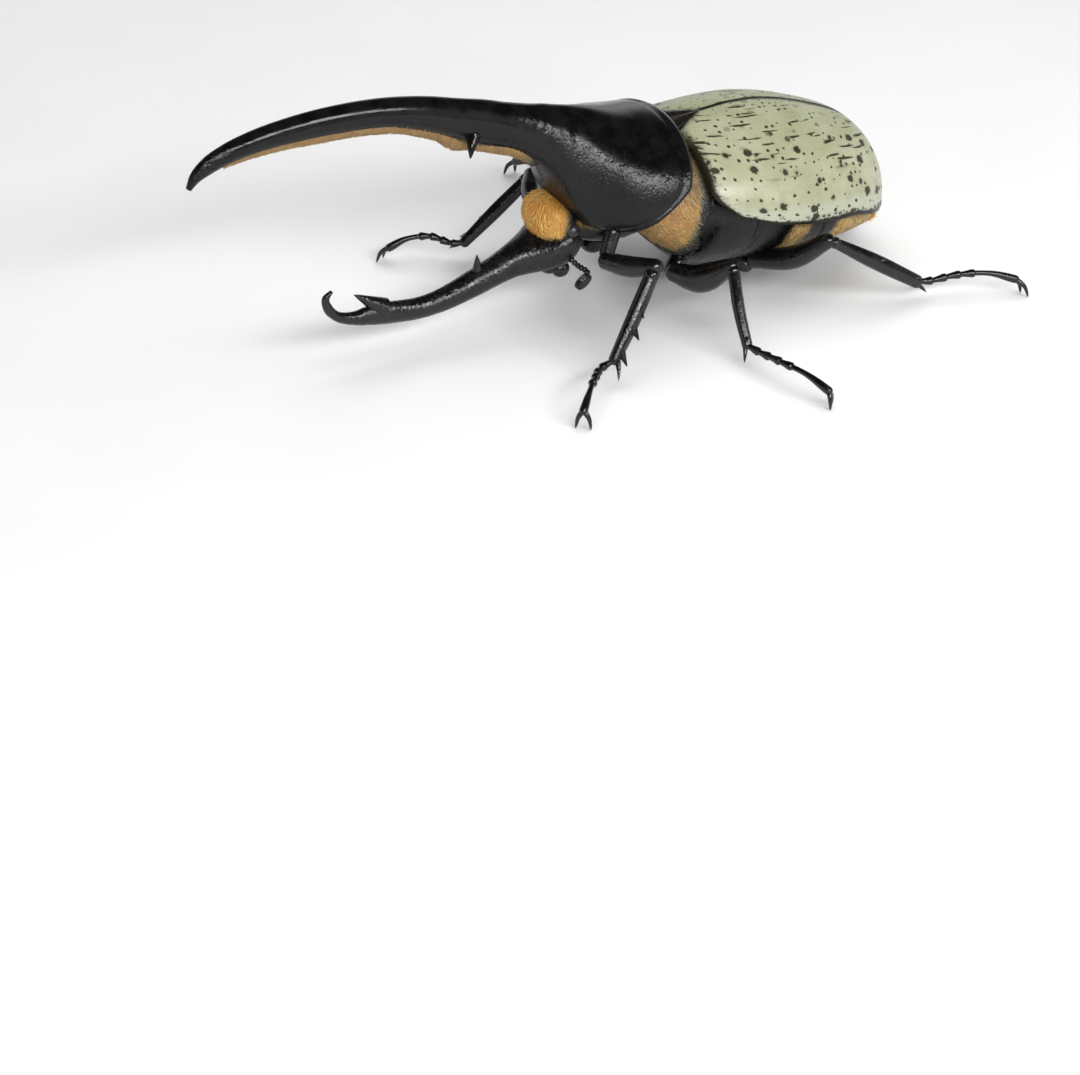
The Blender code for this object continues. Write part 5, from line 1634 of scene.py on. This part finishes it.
def make_floor():
    bm = bmesh.new()
    bmesh.ops.create_grid(bm, x_segments=2, y_segments=2, size=4.0)
    mesh = bpy.data.meshes.new("studio_floor")
    bm.to_mesh(mesh)
    bm.free()
    floor = bpy.data.objects.new("studio_floor", mesh)
    bpy.context.scene.collection.objects.link(floor)
    made, paint, place = start_finish("pale_paper", Roughness=0.8, Specular_IOR_Level=0.2)
    mottle = paint.rise(paint.noise(place, 40.0, 2.0), 0.3, 0.7)
    surface = made.node_tree.nodes["Principled BSDF"].inputs
    paint.feed(surface["Base Color"], paint.tint(mottle, PAPER_DARK, PAPER_LIGHT))
    floor.data.materials.append(made)


def make_sky():
    """Pale walls up to a low height and dark above them, so that tops mirror black."""
    world = bpy.data.worlds.new("soft_studio")
    world.use_nodes = True
    background = world.node_tree.nodes["Background"]
    paint = Paint(world.node_tree)
    way = paint.node("ShaderNodeTexCoord").outputs["Generated"]
    height = paint.parts(way)[2]
    paint.feed(background.inputs["Color"], (1.0, 1.0, 1.0, 1.0))
    light = paint.rise(height, SKY_EDGE_LOW, SKY_EDGE_HIGH, WALL_LIGHT, CEILING_LIGHT)
    paint.feed(background.inputs["Strength"], light)
    bpy.context.scene.world = world


def make_studio():
    make_floor()
    make_sky()
    for lamp in LAMPS:
        make_lamp(*lamp)
    bpy.context.scene.view_settings.view_transform = "Standard"


# Combing

def everywhere(x, y, z):
    return 1.0


def thorax_cover(x, y, z):
    """The band has hair from the dome's rim to the plane where it ends, and everywhere low down."""
    between = rim_y(z) - 0.6 < y < hair_plane_y(z) - 0.4
    return 1.0 if between or z < 25.0 else 0.0


def horn_shade(x, y, z):
    return 0.52 + 0.36 * step_between(-41.0, -38.6, y)


def tail_shade(x, y, z):
    return step_between(-7.5, -5.5, -z) * 0.6


def thorax_shade(x, y, z):
    rear = step_between(-5.5, -0.3, y - hair_plane_y(z))
    # Painted shade: the upper strip of hair, in the narrow gap between the dome's rim and the wing covers,
    # is darker.
    gap = 0.46 + step_between(25.5, 30.0, z) * 0.14
    return max(rear, gap)


def neck_shade(x, y, z):
    rear = step_between(-35.0, -31.6, y + 0.35 * (abs(x) - 4.0) - 0.2 * (z - 22.6))
    low = step_between(-22.4, -19.0, -z) * 0.65
    return max(rear, low)


black_shell = make_shell_plastic()
head_plastic = black_plastic("wrinkled_head_plastic", smooth=0.2, rough=0.38, grain=0.6, depth=0.14)
leg_plastic = black_plastic("satin_leg_plastic", smooth=0.16, rough=0.3, grain=0.4, depth=0.05)
plate_plastic = black_plastic("bronzed_plate_plastic", smooth=0.08, rough=0.16, grain=0.3, depth=0.05,
                              ripple=1.6, fresh=PLATE_BLACK, worn=PLATE_BRONZE)
wing_paint = make_wing_paint()
hair_paint = make_hair_paint()
chest_paint = body_paint("chest_paint", ((-45.0, -8.0),), low=22.0)
hind_chest_paint = body_paint("hind_chest_paint", ((9.5, 24.0),), low=9.0)
belly_paint = body_paint("belly_paint", ((4.0, 16.7), (22.3, 60.0)), low=7.0)
eye_gloss = make_eye_gloss()

dress(make_great_shell(), black_shell, "shell", "pronotum", "thoracic_horn")
dress(make_head(), head_plastic, "shell", "head", "cephalic_horn")
dress(make_scutellum(), plate_plastic, "shell", "scutellum")
dress(make_chest_plate(), chest_paint, "shell", "prothorax_underside")
dress(make_hind_chest(), hind_chest_paint, "shell", "metathorax")
dress(make_mouth(), head_plastic, "shell", "mouthparts")
dress(make_abdomen(), belly_paint, "belly", "abdomen")
for side, word in ((1, "left"), (-1, "right")):
    dress(make_wing_cover(side, "wing_cover_" + word), wing_paint, "wing_cover", "elytron_" + word)
    dress(make_eye(side, "bright_eye_" + word), eye_gloss, "eye", "eye_" + word)
    dress(make_feeler(side, "feeler_" + word), leg_plastic, "shell", "antenna_" + word)
for leg in LEGS:
    make_leg(leg, leg_plastic)

HAIR = (
    # skin, points round it, node, lie, cover and shade
    # then the spacing, length, width, lean and seed of its tufts
    (make_horn_hair_skin, 18, "horn_pile", (0.2, -0.5, -1.0), everywhere, horn_shade,
     (0.34, 0.7, 0.2, 0.7, 11)),
    (make_neck_skin, 60, "neck_pile", (0.25, -0.7, -0.75), everywhere, neck_shade,
     (0.3, 1.5, 0.17, 0.8, 12)),
    (make_thorax_hair_skin, 120, "thorax_pile", (0.05, 0.75, -0.65), thorax_cover, thorax_shade,
     (0.42, 1.5, 0.22, 0.85, 13)),
    (make_tail_skin, 64, "tail_fringe", (0.1, 1.0, -0.25), everywhere, tail_shade,
     (0.34, 1.4, 0.2, 0.75, 14)),
)
for make_skin, points_round, node, lie, cover, shade, tufts in HAIR:
    piece = make_skin()
    unwrap(piece, points_round)
    comb(piece, lie, cover, shade)
    grow_hair(piece, hair_paint, *tufts)
    dress(piece, hair_paint, "sculpted_hair", node)

make_camera()
make_studio()
